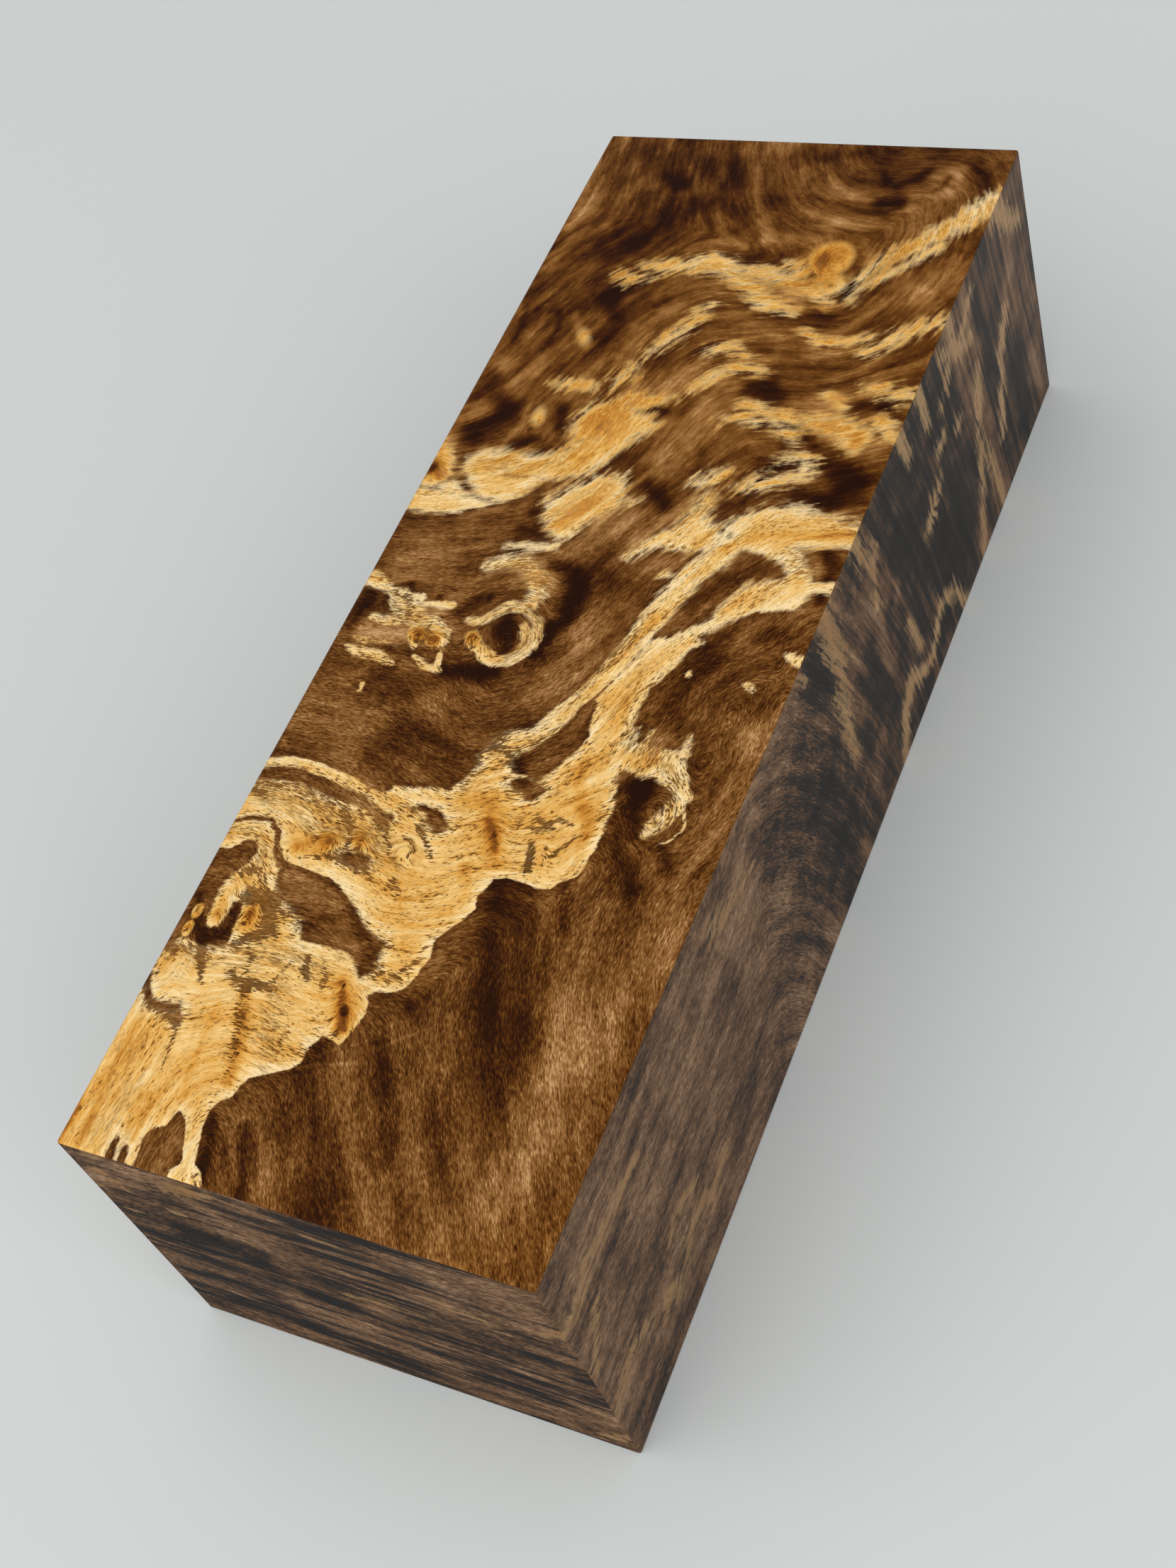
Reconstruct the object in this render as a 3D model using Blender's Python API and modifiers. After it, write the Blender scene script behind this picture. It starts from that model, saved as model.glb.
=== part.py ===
"""A sawn blank of maple burl, lying on its large underside.

Metres, +Z up. +Y runs along the length, from the near end to the far end, and +X points to the
right-hand side as seen from the near end. The origin is under the middle of the blank, on the
surface that it rests on.

The blank is one solid piece of wood. It was cut on a saw by hand, so it isn't a perfect box: the
near end is a little out of square, and the blank is a little narrower there. Its edges are only
eased with a stroke of abrasive paper.
"""

import math

import bpy

LENGTH = 0.1262
WIDTH = 0.0450
HEIGHT = 0.0321
NEAR_END_SKEW = 0.0012  # how far the near end's left corner is set back from its right corner
NEAR_END_TAPER = 0.0009  # how much narrower the near end is than the far end
EASED_EDGE = 0.00025
EASED_EDGE_SEGMENTS = 2
SHARP_ANGLE = math.radians(20)

BODY_WOOD = (0.115, 0.052, 0.022, 1.0)  # the dark brown that covers most of the blank
POLISHED_ROUGHNESS = 0.42


def clear_scene():
    for leftover in list(bpy.data.objects):
        bpy.data.objects.remove(leftover)


def wood_material():
    material = bpy.data.materials.new("burl_wood")
    material.use_nodes = True
    surface = material.node_tree.nodes["Principled BSDF"]
    surface.inputs["Base Color"].default_value = BODY_WOOD
    surface.inputs["Roughness"].default_value = POLISHED_ROUGHNESS
    surface.inputs["Metallic"].default_value = 0.0
    material.diffuse_color = BODY_WOOD
    return material


def cut_near_end(mesh):
    """Moves the near end's corners in for the taper, and its left-hand ones back for the skew."""
    inset = NEAR_END_TAPER / 2
    for corner in mesh.vertices:
        if corner.co.y > 0:
            continue
        on_left = corner.co.x < 0
        corner.co.x += inset if on_left else -inset
        if on_left:
            corner.co.y += NEAR_END_SKEW


def ease_edges(blank):
    bevel = blank.modifiers.new("eased_edges", "BEVEL")
    bevel.width = EASED_EDGE
    bevel.segments = EASED_EDGE_SEGMENTS
    bevel.limit_method = "ANGLE"


def build_blank(collection):
    bpy.ops.mesh.primitive_cube_add(size=1.0, location=(0.0, 0.0, HEIGHT / 2))
    blank = bpy.context.active_object
    blank.name = blank.data.name = "burl_blank"
    for owner in list(blank.users_collection):
        owner.objects.unlink(blank)
    collection.objects.link(blank)
    blank.scale = (WIDTH, LENGTH, HEIGHT)
    bpy.context.view_layer.update()
    bpy.ops.object.transform_apply(location=False, rotation=False, scale=True)
    cut_near_end(blank.data)
    ease_edges(blank)
    blank.data.materials.append(wood_material())
    blank.data.shade_smooth()
    blank.data.set_sharp_from_angle(angle=SHARP_ANGLE)
    return blank


def main():
    clear_scene()
    collection = bpy.data.collections.new("maple_burl_blank")
    bpy.context.scene.collection.children.link(collection)
    build_blank(collection)


main()
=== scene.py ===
"""The looks of a sawn blank of maple burl: figured wood on every face, on a pale studio floor.

Metres, +Z up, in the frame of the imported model. The figure is laid out in millimetres, because its
strokes are a few millimetres long: on the upper face as (x, y), on the right-hand side as (y, z),
and on the near end as (x, z). Each stroke becomes part of a few numbers kept on the mesh points,
and the material turns those numbers into wood with fine noise that follows the grain.
"""

import math

import bmesh
import bpy
import numpy as np
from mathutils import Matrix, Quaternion, Vector
from mathutils import noise as solid_noise


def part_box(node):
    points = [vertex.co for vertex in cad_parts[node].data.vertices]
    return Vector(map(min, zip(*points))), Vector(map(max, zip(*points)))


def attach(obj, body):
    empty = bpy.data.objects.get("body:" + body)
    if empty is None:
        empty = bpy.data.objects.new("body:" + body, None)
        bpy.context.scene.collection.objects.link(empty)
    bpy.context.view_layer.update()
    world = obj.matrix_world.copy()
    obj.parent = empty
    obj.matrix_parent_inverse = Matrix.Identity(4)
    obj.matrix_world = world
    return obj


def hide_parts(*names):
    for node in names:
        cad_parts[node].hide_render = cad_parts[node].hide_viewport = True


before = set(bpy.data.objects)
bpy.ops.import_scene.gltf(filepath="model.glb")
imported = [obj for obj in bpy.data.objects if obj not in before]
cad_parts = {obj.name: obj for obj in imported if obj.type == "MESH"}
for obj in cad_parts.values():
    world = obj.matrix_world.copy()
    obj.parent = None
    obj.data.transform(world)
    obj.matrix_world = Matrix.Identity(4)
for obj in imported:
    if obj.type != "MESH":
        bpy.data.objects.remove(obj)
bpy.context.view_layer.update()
LOW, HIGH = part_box("burl_blank")

bl_info = {
    "name": "Maple burl block",
    "version": (1, 0, 0),
    "blender": (4, 5, 0),
    "location": "View3D > Sidebar > Burl block",
    "description": "Builds a sawn block of figured maple burl and a pale studio stage round it",
    "category": "Add Mesh",
}

MM = 0.001

# The points of the mesh are about 1 mm apart, and closer on the faces that carry fine figure.
COARSE_STEP = 1.05 * MM
TOP_CUTS = 2
SIDE_CUTS = 1

FAR_AWAY = -3.0  # mm outside every stroke

# ---------------------------------------------------------------------------------------------
# Upper face, pale wood. An area is a closed outline of (x, y, fray): fray is how far, in mm, the
# edge breaks up along the grain beside that corner.

TOP_PALE_AREAS = (
    # from the near left corner, up the crisp right-hand border, through both veins and back
    (
        (-24, -66, 0.1), (-8.2, -66, 0.2), (-8.5, -61.6, 0.15), (-9.2, -60.4, 0.1), (-9.7, -59, 0.1),
        (-10.1, -57.2, 0.1), (-10.2, -55.9, 0.1), (-9.7, -54.9, 0.1), (-8.9, -54.4, 0.1),
        (-8.8, -53.4, 0.1), (-8.3, -52.6, 0.1), (-6.6, -51.6, 0.1), (-5.1, -50.9, 0.1),
        (-4.6, -50.1, 0.1), (-4.6, -49.0, 0.2), (-3.9, -47.3, 0.15), (-2.7, -47.7, 0.1),
        (-2.0, -48.1, 0.1), (-1.6, -46.6, 0.1), (-1.2, -44.8, 0.1), (-1.4, -43.7, 0.1),
        (-1.9, -42.9, 0.2), (-1.1, -42.6, 0.2), (0.0, -42.5, 0.15), (1.1, -41.8, 0.1),
        (1.5, -40.9, 0.1), (1.7, -39.6, 0.1), (2.0, -38.7, 0.1), (1.6, -37.0, 0.12),
        (2.4, -35.7, 0.1), (3.3, -34.5, 0.1), (3.8, -33.4, 0.1), (3.4, -32.2, 0.12),
        (4.0, -31.2, 0.15), (4.1, -30.4, 0.15), (5.2, -29.9, 0.12), (6.5, -30.1, 0.1),
        (8.2, -30.4, 0.1), (9.3, -30.2, 0.1), (10.0, -29.4, 0.1), (11.2, -28.6, 0.15),
        (11.4, -26.9, 0.15), (11.7, -24.5, 0.2), (11.5, -22.0, 0.3), (11.2, -19.5, 0.35),
        (10.6, -17.8, 0.4), (10.1, -15.4, 0.5), (10.1, -12.5, 0.5), (9.9, -10.5, 0.3),
        (9.9, -8.7, 0.3), (10.5, -7.6, 0.4), (11.1, -6.6, 0.3), (11.7, -5.4, 0.3), (12.0, -4.2, 0.4),
        (12.9, -3.3, 0.4), (12.0, -2.7, 0.3), (12.9, -1.9, 0.3), (13.9, -1.0, 0.3), (14.8, -0.1, 0.3),
        (16.0, 0.9, 0.25), (17.5, 1.3, 0.2), (19.5, 1.8, 0.2), (20.0, 2.4, 0.3), (20.5, 4.0, 0.3),
        (24.0, 4.0, 0.2), (24.0, 5.1, 0.2), (20.2, 4.9, 0.3), (19.3, 6.1, 0.3), (18.4, 7.1, 0.4),
        (17.7, 8.6, 0.4), (20.2, 9.3, 0.2), (24.0, 9.6, 0.2), (24.0, 12.3, 0.5), (20.3, 12.4, 0.6),
        (18.2, 12.8, 0.6), (16.3, 13.3, 0.6), (14.6, 13.0, 0.6), (13.0, 12.2, 0.7),
        (11.3, 11.5, 0.7), (10.2, 10.2, 0.6), (9.8, 8.5, 0.5), (9.6, 7.0, 0.4), (8.7, 5.5, 0.4),
        (8.2, 4.2, 0.5), (7.3, 2.6, 0.5), (7.0, 0.9, 0.4), (6.4, -1.0, 0.3), (5.9, -3.0, 0.25),
        (5.5, -5.0, 0.25), (4.8, -7.0, 0.25), (4.3, -8.8, 0.25), (3.4, -10.6, 0.25),
        (2.2, -12.6, 0.3), (1.5, -14.0, 0.35), (0.9, -14.9, 0.5), (0.0, -15.2, 0.6),
        (-1.2, -15.8, 0.6), (-1.9, -16.6, 0.6), (-2.4, -17.3, 0.6), (-2.7, -18.4, 0.6),
        (-2.3, -19.5, 0.5), (-2.7, -20.6, 0.5), (-3.0, -21.8, 0.5), (-3.7, -22.6, 0.4),
        (-5.4, -22.5, 0.4), (-7.0, -22.9, 0.4), (-8.7, -23.3, 0.3), (-9.5, -24.1, 0.2),
        (-11.3, -23.7, 0.15), (-13.1, -23.0, 0.15), (-15.2, -22.5, 0.15), (-17.6, -22.0, 0.15),
        (-19.9, -22.0, 0.15), (-21.5, -22.4, 0.15), (-24.0, -22.8, 0.15),
    ),
    # the patch between the long vein and the brown island
    (
        (4.6, 7.3, 0.5), (5.4, 8.4, 0.6), (5.7, 9.8, 0.6), (6.0, 11.2, 0.6), (6.4, 12.5, 0.6),
        (6.9, 13.9, 0.7), (7.6, 14.3, 0.7), (7.9, 13.0, 0.5), (7.7, 11.6, 0.5), (8.2, 10.4, 0.5),
        (9.6, 9.9, 0.5), (10.4, 8.5, 0.4), (10.0, 7.1, 0.4), (8.5, 6.9, 0.4), (7.0, 6.8, 0.3),
        (5.6, 6.9, 0.3),
    ),
    # the upright patch left of centre
    (
        (-5.1, 6.3, 0.5), (-6.4, 6.9, 0.4), (-7.4, 8.3, 0.5), (-8.2, 9.6, 0.6), (-8.3, 11.0, 0.8),
        (-7.1, 12.3, 0.8), (-5.6, 13.4, 0.7), (-4.2, 14.5, 0.7), (-2.8, 14.6, 0.7),
        (-1.5, 15.1, 0.7), (-1.3, 13.6, 0.6), (-1.0, 12.2, 0.6), (0.4, 12.0, 0.7), (-0.6, 11.0, 0.7),
        (-2.3, 9.8, 0.7), (-3.4, 8.3, 0.7), (-4.3, 7.0, 0.6),
    ),
    # the bent patch that climbs from the left edge
    (
        (-18.6, 13.6, 0.4), (-18.4, 15.0, 0.4), (-17.5, 16.1, 0.4), (-14.5, 16.3, 0.4),
        (-11.5, 16.1, 0.4), (-9.8, 16.7, 0.4), (-8.8, 17.8, 0.5), (-9.0, 19.0, 0.5),
        (-9.6, 20.5, 0.6), (-9.3, 22.3, 0.7), (-8.0, 23.6, 0.8), (-6.6, 24.6, 0.8), (-5.0, 25.2, 0.8),
        (-3.0, 25.0, 0.6), (-0.8, 25.6, 0.5), (-2.3, 24.3, 0.4), (-4.4, 23.2, 0.4), (-2.2, 22.6, 0.5),
        (-1.3, 21.6, 0.5), (-1.9, 20.6, 0.5), (-2.9, 19.7, 0.5), (-3.8, 18.2, 0.4),
        (-4.6, 16.3, 0.4), (-5.5, 15.0, 0.5), (-7.5, 13.8, 0.5), (-9.8, 13.5, 0.4),
        (-10.2, 12.3, 0.5), (-11.5, 11.0, 0.5), (-13.5, 10.2, 0.4), (-15.0, 10.4, 0.3),
        (-16.5, 11.5, 0.3),
    ),
    # left edge: halo of the dark eye, and the little wedge under the crack
    ((-24, 10.8, 0.3), (-21.0, 11.0, 0.3), (-19.6, 12.1, 0.3), (-20.2, 14.3, 0.3), (-21.2, 16.0, 0.4),
     (-24, 17.2, 0.5)),
    ((-20.4, 11.2, 0.3), (-18.9, 12.0, 0.3), (-17.0, 10.3, 0.3), (-19.0, 10.3, 0.3)),
)

# Pale veins are open strokes of (x, y, width), each after its own fray.
TOP_PALE_VEINS = (
    (0.5, ((2.3, 5.3, 0.6), (3.4, 6.8, 0.9), (4.9, 8.0, 1.6))),
    (0.7, ((5.8, 14.9, 0.9), (6.9, 15.7, 1.1), (8.0, 16.5, 0.7))),
    (0.8, ((9.4, 14.8, 0.5), (11.1, 15.7, 1.0), (13.4, 16.3, 1.1), (15.0, 17.2, 1.2), (15.4, 18.3, 0.9),
           (14.3, 19.4, 0.6), (12.8, 19.2, 0.3))),
    (0.3, ((-24, 9.2, 2.4), (-20, 9.2, 2.3), (-17.1, 9.2, 1.9), (-14.3, 9.8, 0.6))),
    (0.6, ((-13.6, 25.7, 0.5), (-11.0, 26.0, 0.8), (-9.4, 25.6, 0.5))),
    (0.8, ((-7.6, 26.9, 0.6), (-6.9, 27.6, 1.2), (-6.6, 28.8, 0.5))),
    (0.8, ((-5.8, 31.0, 0.3), (-5.0, 32.6, 0.9), (-3.6, 34.4, 1.0), (-2.4, 36.5, 0.9), (-1.6, 37.8, 0.4))),
    (0.8, ((0.6, 26.9, 0.5), (2.0, 28.6, 0.9), (3.4, 29.8, 1.1), (4.9, 30.1, 1.0), (6.9, 29.7, 0.4))),
    (0.7, ((4.9, 23.2, 0.4), (6.7, 23.9, 1.0), (8.4, 23.2, 0.5))),
    (0.5, ((6.2, 25.5, 0.3), (8.1, 24.9, 0.5), (9.9, 24.4, 0.6), (12.3, 24.0, 0.9))),
    (0.6, ((10.4, 23.1, 0.7), (11.7, 22.3, 0.9), (13.0, 21.3, 0.5))),
    (0.5, ((12.0, 24.1, 0.8), (14.9, 23.7, 1.9), (17.4, 23.1, 2.7), (18.7, 22.5, 2.3), (18.9, 20.8, 0.6))),
    (0.3, ((14.0, 27.3, 0.3), (15.2, 26.9, 0.6), (16.0, 26.1, 0.4))),
    (0.8, ((17.6, 28.9, 0.4), (19.6, 28.6, 1.0), (24.0, 28.0, 1.3))),
    (0.8, ((20.2, 24.6, 0.6), (21.5, 23.2, 1.0), (24.0, 22.4, 0.8))),
    (0.8, ((0.2, 31.7, 0.4), (2.4, 32.8, 1.0), (4.6, 31.7, 0.5))),
    # the far vein, its strands, and its arm to the right-hand edge
    (0.7, ((-13.0, 41.4, 0.4), (-11.5, 41.4, 1.0), (-10.0, 41.9, 0.5))),
    (0.6, ((-10.9, 43.0, 0.5), (-9.0, 43.2, 0.9), (-6.6, 43.5, 1.2), (-5.1, 43.9, 1.6), (-3.8, 44.2, 2.0),
           (-1.9, 43.5, 2.0), (0.3, 42.0, 1.7), (2.3, 40.6, 1.5), (4.3, 38.9, 1.5), (6.9, 38.3, 0.5))),
    (0.6, ((0.6, 43.3, 0.6), (2.8, 43.0, 1.3), (5.0, 42.2, 1.3), (7.3, 41.3, 1.5), (8.7, 40.4, 1.1),
           (10.2, 39.7, 0.5))),
    (0.7, ((4.6, 44.7, 0.5), (5.6, 44.2, 1.3), (6.6, 43.0, 1.3))),
    (0.5, ((12.2, 43.2, 0.5), (13.3, 45.2, 1.1), (15.1, 47.3, 1.4), (17.4, 49.6, 1.8), (19.7, 52.0, 2.0),
           (21.2, 54.0, 2.2), (24.0, 56.6, 2.2))),
    (0.4, ((12.1, 40.2, 0.3), (13.0, 42.4, 0.4), (15.2, 44.4, 0.4), (17.0, 46.3, 0.4), (18.6, 48.6, 0.4))),
    (0.5, ((9.0, 35.4, 0.3), (10.9, 34.4, 0.6), (13.5, 34.6, 0.5), (15.6, 35.2, 0.2))),
    (0.7, ((16.0, 33.4, 0.6), (18.0, 35.0, 0.9), (20.0, 37.0, 0.9), (24.0, 39.6, 0.8))),
    (0.3, ((8.4, 42.9, 0.8), (9.9, 42.9, 0.7), (10.5, 41.8, 0.7), (9.6, 41.1, 0.6), (8.7, 41.7, 0.6))),
    # the curl on the right
    (0.4, ((10.2, -16.0, 3.0), (12.5, -16.3, 3.4), (14.2, -16.2, 2.8), (15.7, -17.5, 2.2),
           (17.0, -19.4, 1.5), (16.4, -21.0, 1.7), (15.6, -22.5, 1.5), (15.2, -23.7, 0.7))),
    (0.4, ((10.6, -13.0, 0.3), (10.7, -15.0, 0.9))),
    (0.4, ((12.0, -13.2, 0.3), (11.8, -15.0, 0.9))),
    (0.4, ((15.5, -13.2, 0.4), (15.4, -15.2, 0.9))),
    (0.1, ((17.6, -20.4, 0.25), (18.3, -22.2, 0.25), (17.6, -23.6, 0.25), (16.6, -24.3, 0.2))),
    (0.4, ((18.3, -7.0, 0.6), (19.1, -7.5, 0.9))),
    (0.2, ((12.7, -6.7, 0.4), (12.9, -6.9, 0.4))),
    (0.3, ((20.8, -3.4, 0.3), (22.0, -3.8, 0.9), (24.0, -5.0, 0.9))),
    # the cluster of little eyes by the left edge
    (0.3, ((-24, -1.0, 1.5), (-21.4, -1.2, 1.6), (-19.6, -1.9, 0.9))),
    (0.35, ((-18.6, -2.4, 1.0), (-17.4, -3.4, 2.6), (-15.8, -4.4, 2.0))),
    (0.25, ((-17.0, -2.6, 0.4), (-15.8, -2.4, 0.7), (-15.2, -3.2, 0.4))),
    (0.3, ((-19.4, -5.4, 0.9), (-17.6, -5.6, 1.0), (-15.7, -4.9, 1.4), (-13.4, -5.2, 1.8), (-11.9, -6.3, 1.8),
           (-11.3, -7.4, 0.9))),
    (0.15, ((-14.9, -3.15, 0.5), (-12.4, -2.95, 0.7))),
    (0.25, ((-14.8, -6.0, 0.9), (-14.2, -7.2, 1.6), (-13.9, -8.2, 0.8))),
    (0.25, ((-20.6, -9.2, 0.5), (-19.2, -9.6, 1.0), (-17.0, -9.7, 1.0), (-15.2, -10.3, 0.6))),
    (0.4, ((-20.4, -8.1, 0.4), (-17.5, -8.1, 0.6), (-15.4, -8.4, 0.4))),
    (0.25, ((-13.4, -9.2, 0.5), (-12.4, -9.8, 0.7), (-10.4, -10.4, 0.7))),
    (0.1, ((-11.0, -8.5, 0.5), (-10.7, -9.7, 0.7))),
    (0.1, ((-17.0, -12.9, 0.35), (-16.9, -13.9, 0.7))),
    (0.25, ((-9.9, -4.4, 0.7), (-8.5, -4.2, 1.0), (-7.5, -2.9, 0.8), (-6.6, -2.1, 0.8), (-5.1, -2.3, 0.6))),
    (0.25, ((-4.8, -2.4, 0.6), (-3.2, -3.4, 0.7), (-2.6, -5.1, 1.0), (-2.9, -6.8, 1.2), (-3.9, -8.1, 1.3),
            (-5.4, -8.5, 1.2), (-6.9, -7.8, 1.2), (-8.0, -6.9, 1.2), (-8.8, -6.1, 1.4))),
    (0.2, ((-4.4, -4.2, 0.4), (-3.7, -5.6, 0.7), (-3.6, -6.9, 0.4))),
    (0.4, ((-10.5, 2.0, 1.2), (-9.2, 2.9, 1.5), (-7.7, 2.9, 1.9), (-6.3, 2.3, 2.0), (-5.0, 1.0, 2.0),
           (-4.4, -0.6, 1.7), (-4.8, -2.2, 1.0))),
    (0.3, ((-10.0, 4.8, 0.3), (-7.7, 5.1, 0.5), (-5.1, 5.3, 0.3))),
    (0.3, ((6.1, 3.5, 0.3), (6.9, 3.8, 0.4))),
    # slivers at the near edge
    (0.15, ((-10.6, -61.4, 0.4), (-9.0, -61.2, 1.2), (-8.2, -62.0, 1.0))),
)

# Brown pieces let into the pale wood.
TOP_DARK_AREAS = (
    # between the two veins
    ((9.3, 0.9, 0.3), (8.7, -1.0, 0.2), (8.2, -2.7, 0.2), (7.9, -4.2, 0.15), (8.0, -4.3, 0.15),
     (8.5, -3.5, 0.2), (9.7, -3.3, 0.3), (10.6, -2.6, 0.4), (11.5, -1.7, 0.3), (12.7, -0.6, 0.3),
     (13.0, 1.0, 0.3), (13.9, 2.5, 0.4), (14.9, 3.6, 0.4), (16.1, 4.5, 0.4), (17.1, 4.6, 0.4),
     (17.9, 5.4, 0.3), (17.4, 6.3, 0.3), (16.4, 7.1, 0.3), (14.9, 7.5, 0.25), (13.4, 8.0, 0.25),
     (12.4, 7.7, 0.25), (11.9, 6.5, 0.25), (11.4, 5.3, 0.25), (10.5, 4.0, 0.25), (9.8, 2.5, 0.25)),
    # wedge below the fork
    ((5.3, -10.6, 0.15), (5.9, -11.2, 0.15), (6.0, -12.4, 0.2), (6.3, -13.9, 0.2), (6.5, -15.2, 0.2),
     (6.1, -16.5, 0.3), (5.3, -18.0, 0.3), (4.6, -19.4, 0.35), (3.9, -20.2, 0.3), (2.6, -19.9, 0.3),
     (1.6, -19.6, 0.4), (0.9, -18.7, 0.4), (1.0, -17.6, 0.35), (1.8, -17.2, 0.3), (2.5, -16.5, 0.25),
     (3.5, -15.0, 0.2), (4.3, -13.1, 0.2), (4.7, -11.8, 0.15)),
    ((1.6, -20.4, 0.3), (2.6, -20.1, 0.3), (4.1, -20.3, 0.3), (4.9, -20.9, 0.4), (4.3, -21.8, 0.4),
     (3.6, -22.0, 0.4), (2.4, -21.4, 0.4), (1.7, -21.2, 0.4)),
    # the brown island between the two pale arms
    ((-15.1, -32.6, 0.2), (-13.3, -32.8, 0.1), (-10.4, -33.2, 0.1), (-8.3, -34.3, 0.2),
     (-6.6, -35.6, 0.3), (-4.8, -37.1, 0.4), (-3.0, -38.1, 0.4), (-2.4, -38.7, 0.4),
     (-2.6, -39.7, 0.5), (-2.2, -40.7, 0.5), (-3.3, -41.9, 0.4), (-4.2, -40.4, 0.3), (-5.4, -39.7, 0.2),
     (-8.3, -39.6, 0.1), (-10.1, -39.6, 0.15), (-10.6, -38.2, 0.6), (-11.6, -37.1, 0.6),
     (-13.3, -36.1, 0.6), (-14.7, -35.1, 0.4), (-15.3, -34.0, 0.3)),
    # brown hook and dark ground of the eyes at the left edge
    ((-24, -32.7, 0.15), (-20.9, -32.3, 0.15), (-20.0, -31.2, 0.15), (-18.9, -31.0, 0.15),
     (-18.2, -31.8, 0.2), (-18.4, -33.3, 0.3), (-19.2, -34.4, 0.3), (-19.9, -35.6, 0.3),
     (-19.8, -37.6, 0.3), (-19.5, -39.8, 0.2), (-18.8, -40.3, 0.2), (-18.0, -39.6, 0.2),
     (-17.9, -37.4, 0.3), (-17.2, -36.8, 0.3), (-16.7, -38.0, 0.2), (-16.6, -40.0, 0.2),
     (-16.4, -41.6, 0.2), (-17.6, -41.9, 0.2), (-19.0, -41.9, 0.2), (-20.4, -41.6, 0.25),
     (-21.6, -41.8, 0.3), (-22.0, -43.4, 0.3), (-24, -43.8, 0.3)),
    # the framed dark patch at the near edge
    ((-14.5, -58.8, 0.08), (-13.3, -58.2, 0.08), (-12.9, -56.6, 0.1), (-12.3, -56.9, 0.1),
     (-11.7, -57.5, 0.08), (-11.1, -58.8, 0.08), (-10.6, -60.1, 0.08), (-10.1, -60.8, 0.1),
     (-11.0, -61.6, 0.1), (-10.9, -66, 0.1), (-14.4, -66, 0.1), (-14.3, -61.0, 0.1),
     (-14.7, -59.7, 0.08)),
    ((-17.1, -59.8, 0.1), (-16.6, -60.2, 0.1), (-16.2, -62.6, 0.1), (-17.2, -62.6, 0.1)),
    ((-16.0, -60.3, 0.1), (-15.5, -60.5, 0.1), (-14.9, -62.8, 0.1), (-15.9, -62.8, 0.1)),
    # the dark knot inside the curl
    ((11.7, -18.9, 0.3), (12.7, -17.8, 0.3), (13.8, -17.8, 0.25), (14.8, -18.4, 0.25),
     (15.6, -19.2, 0.3), (15.1, -20.3, 0.3), (14.0, -20.0, 0.3), (13.6, -21.2, 0.3), (14.7, -23.2, 0.3),
     (14.9, -24.2, 0.3), (13.8, -23.6, 0.3), (12.7, -21.6, 0.3), (11.7, -20.4, 0.3)),
    # brown patches in the peppered middle
    ((-6.9, -24.9, 0.3), (-5.4, -24.5, 0.3), (-3.6, -24.6, 0.4), (-2.6, -25.4, 0.4),
     (-2.1, -26.2, 0.4), (-2.9, -26.9, 0.4), (-3.9, -26.3, 0.4), (-4.6, -25.4, 0.3), (-6.0, -25.2, 0.3)),
    ((-10.9, -30.4, 0.3), (-9.9, -30.6, 0.3), (-8.6, -30.3, 0.3), (-7.4, -31.0, 0.3),
     (-8.2, -31.7, 0.3), (-9.8, -31.4, 0.3)),
    # the dark eye at the left edge of the middle
    ((-24, 11.9, 0.3), (-21.6, 12.1, 0.3), (-21.1, 13.4, 0.3), (-21.6, 14.7, 0.3), (-24, 15.0, 0.3)),
)

# Thin brown lines cut through the pale wood: (fray, stroke of (x, y, width)).
TOP_DARK_LINES = (
    (0.1, ((7.9, -4.2, 0.25), (7.3, -6.2, 0.25), (6.5, -8.3, 0.25), (5.5, -10.8, 0.4))),
    (0.35, ((-24, -24.9, 1.3), (-20.7, -23.9, 1.4), (-18.6, -23.7, 1.3), (-16.0, -24.3, 1.4),
            (-13.3, -24.9, 1.3), (-11.3, -25.2, 1.0), (-10.0, -25.7, 0.6), (-7.7, -26.4, 0.3))),
    (0.15, ((-24, -30.1, 0.4), (-22.3, -29.7, 0.4), (-20.4, -28.9, 0.5), (-18.6, -28.7, 0.5),
            (-17.3, -29.9, 0.5), (-16.6, -31.6, 0.6), (-15.5, -32.8, 0.9), (-14.2, -33.2, 0.8))),
    (0.25, ((-22.6, -45.1, 0.5), (-21.6, -46.8, 0.5), (-20.7, -48.0, 0.5), (-19.2, -48.3, 0.5),
            (-17.7, -48.0, 0.5), (-17.2, -49.3, 0.3))),
    (0.2, ((-21.3, 16.7, 0.4), (-19.8, 14.2, 0.4), (-18.6, 12.4, 0.5), (-16.7, 10.5, 0.5),
           (-13.9, 9.8, 0.4), (-12.7, 9.2, 0.3))),
    (0.2, ((10.7, 9.6, 0.3), (11.0, 8.9, 0.5))),
    (0.2, ((10.6, -18.9, 0.3), (11.4, -18.6, 0.5))),
    (0.2, ((-6.5, 19.2, 0.2), (-8.4, 18.6, 0.4), (-9.4, 19.9, 0.4))),
)

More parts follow.
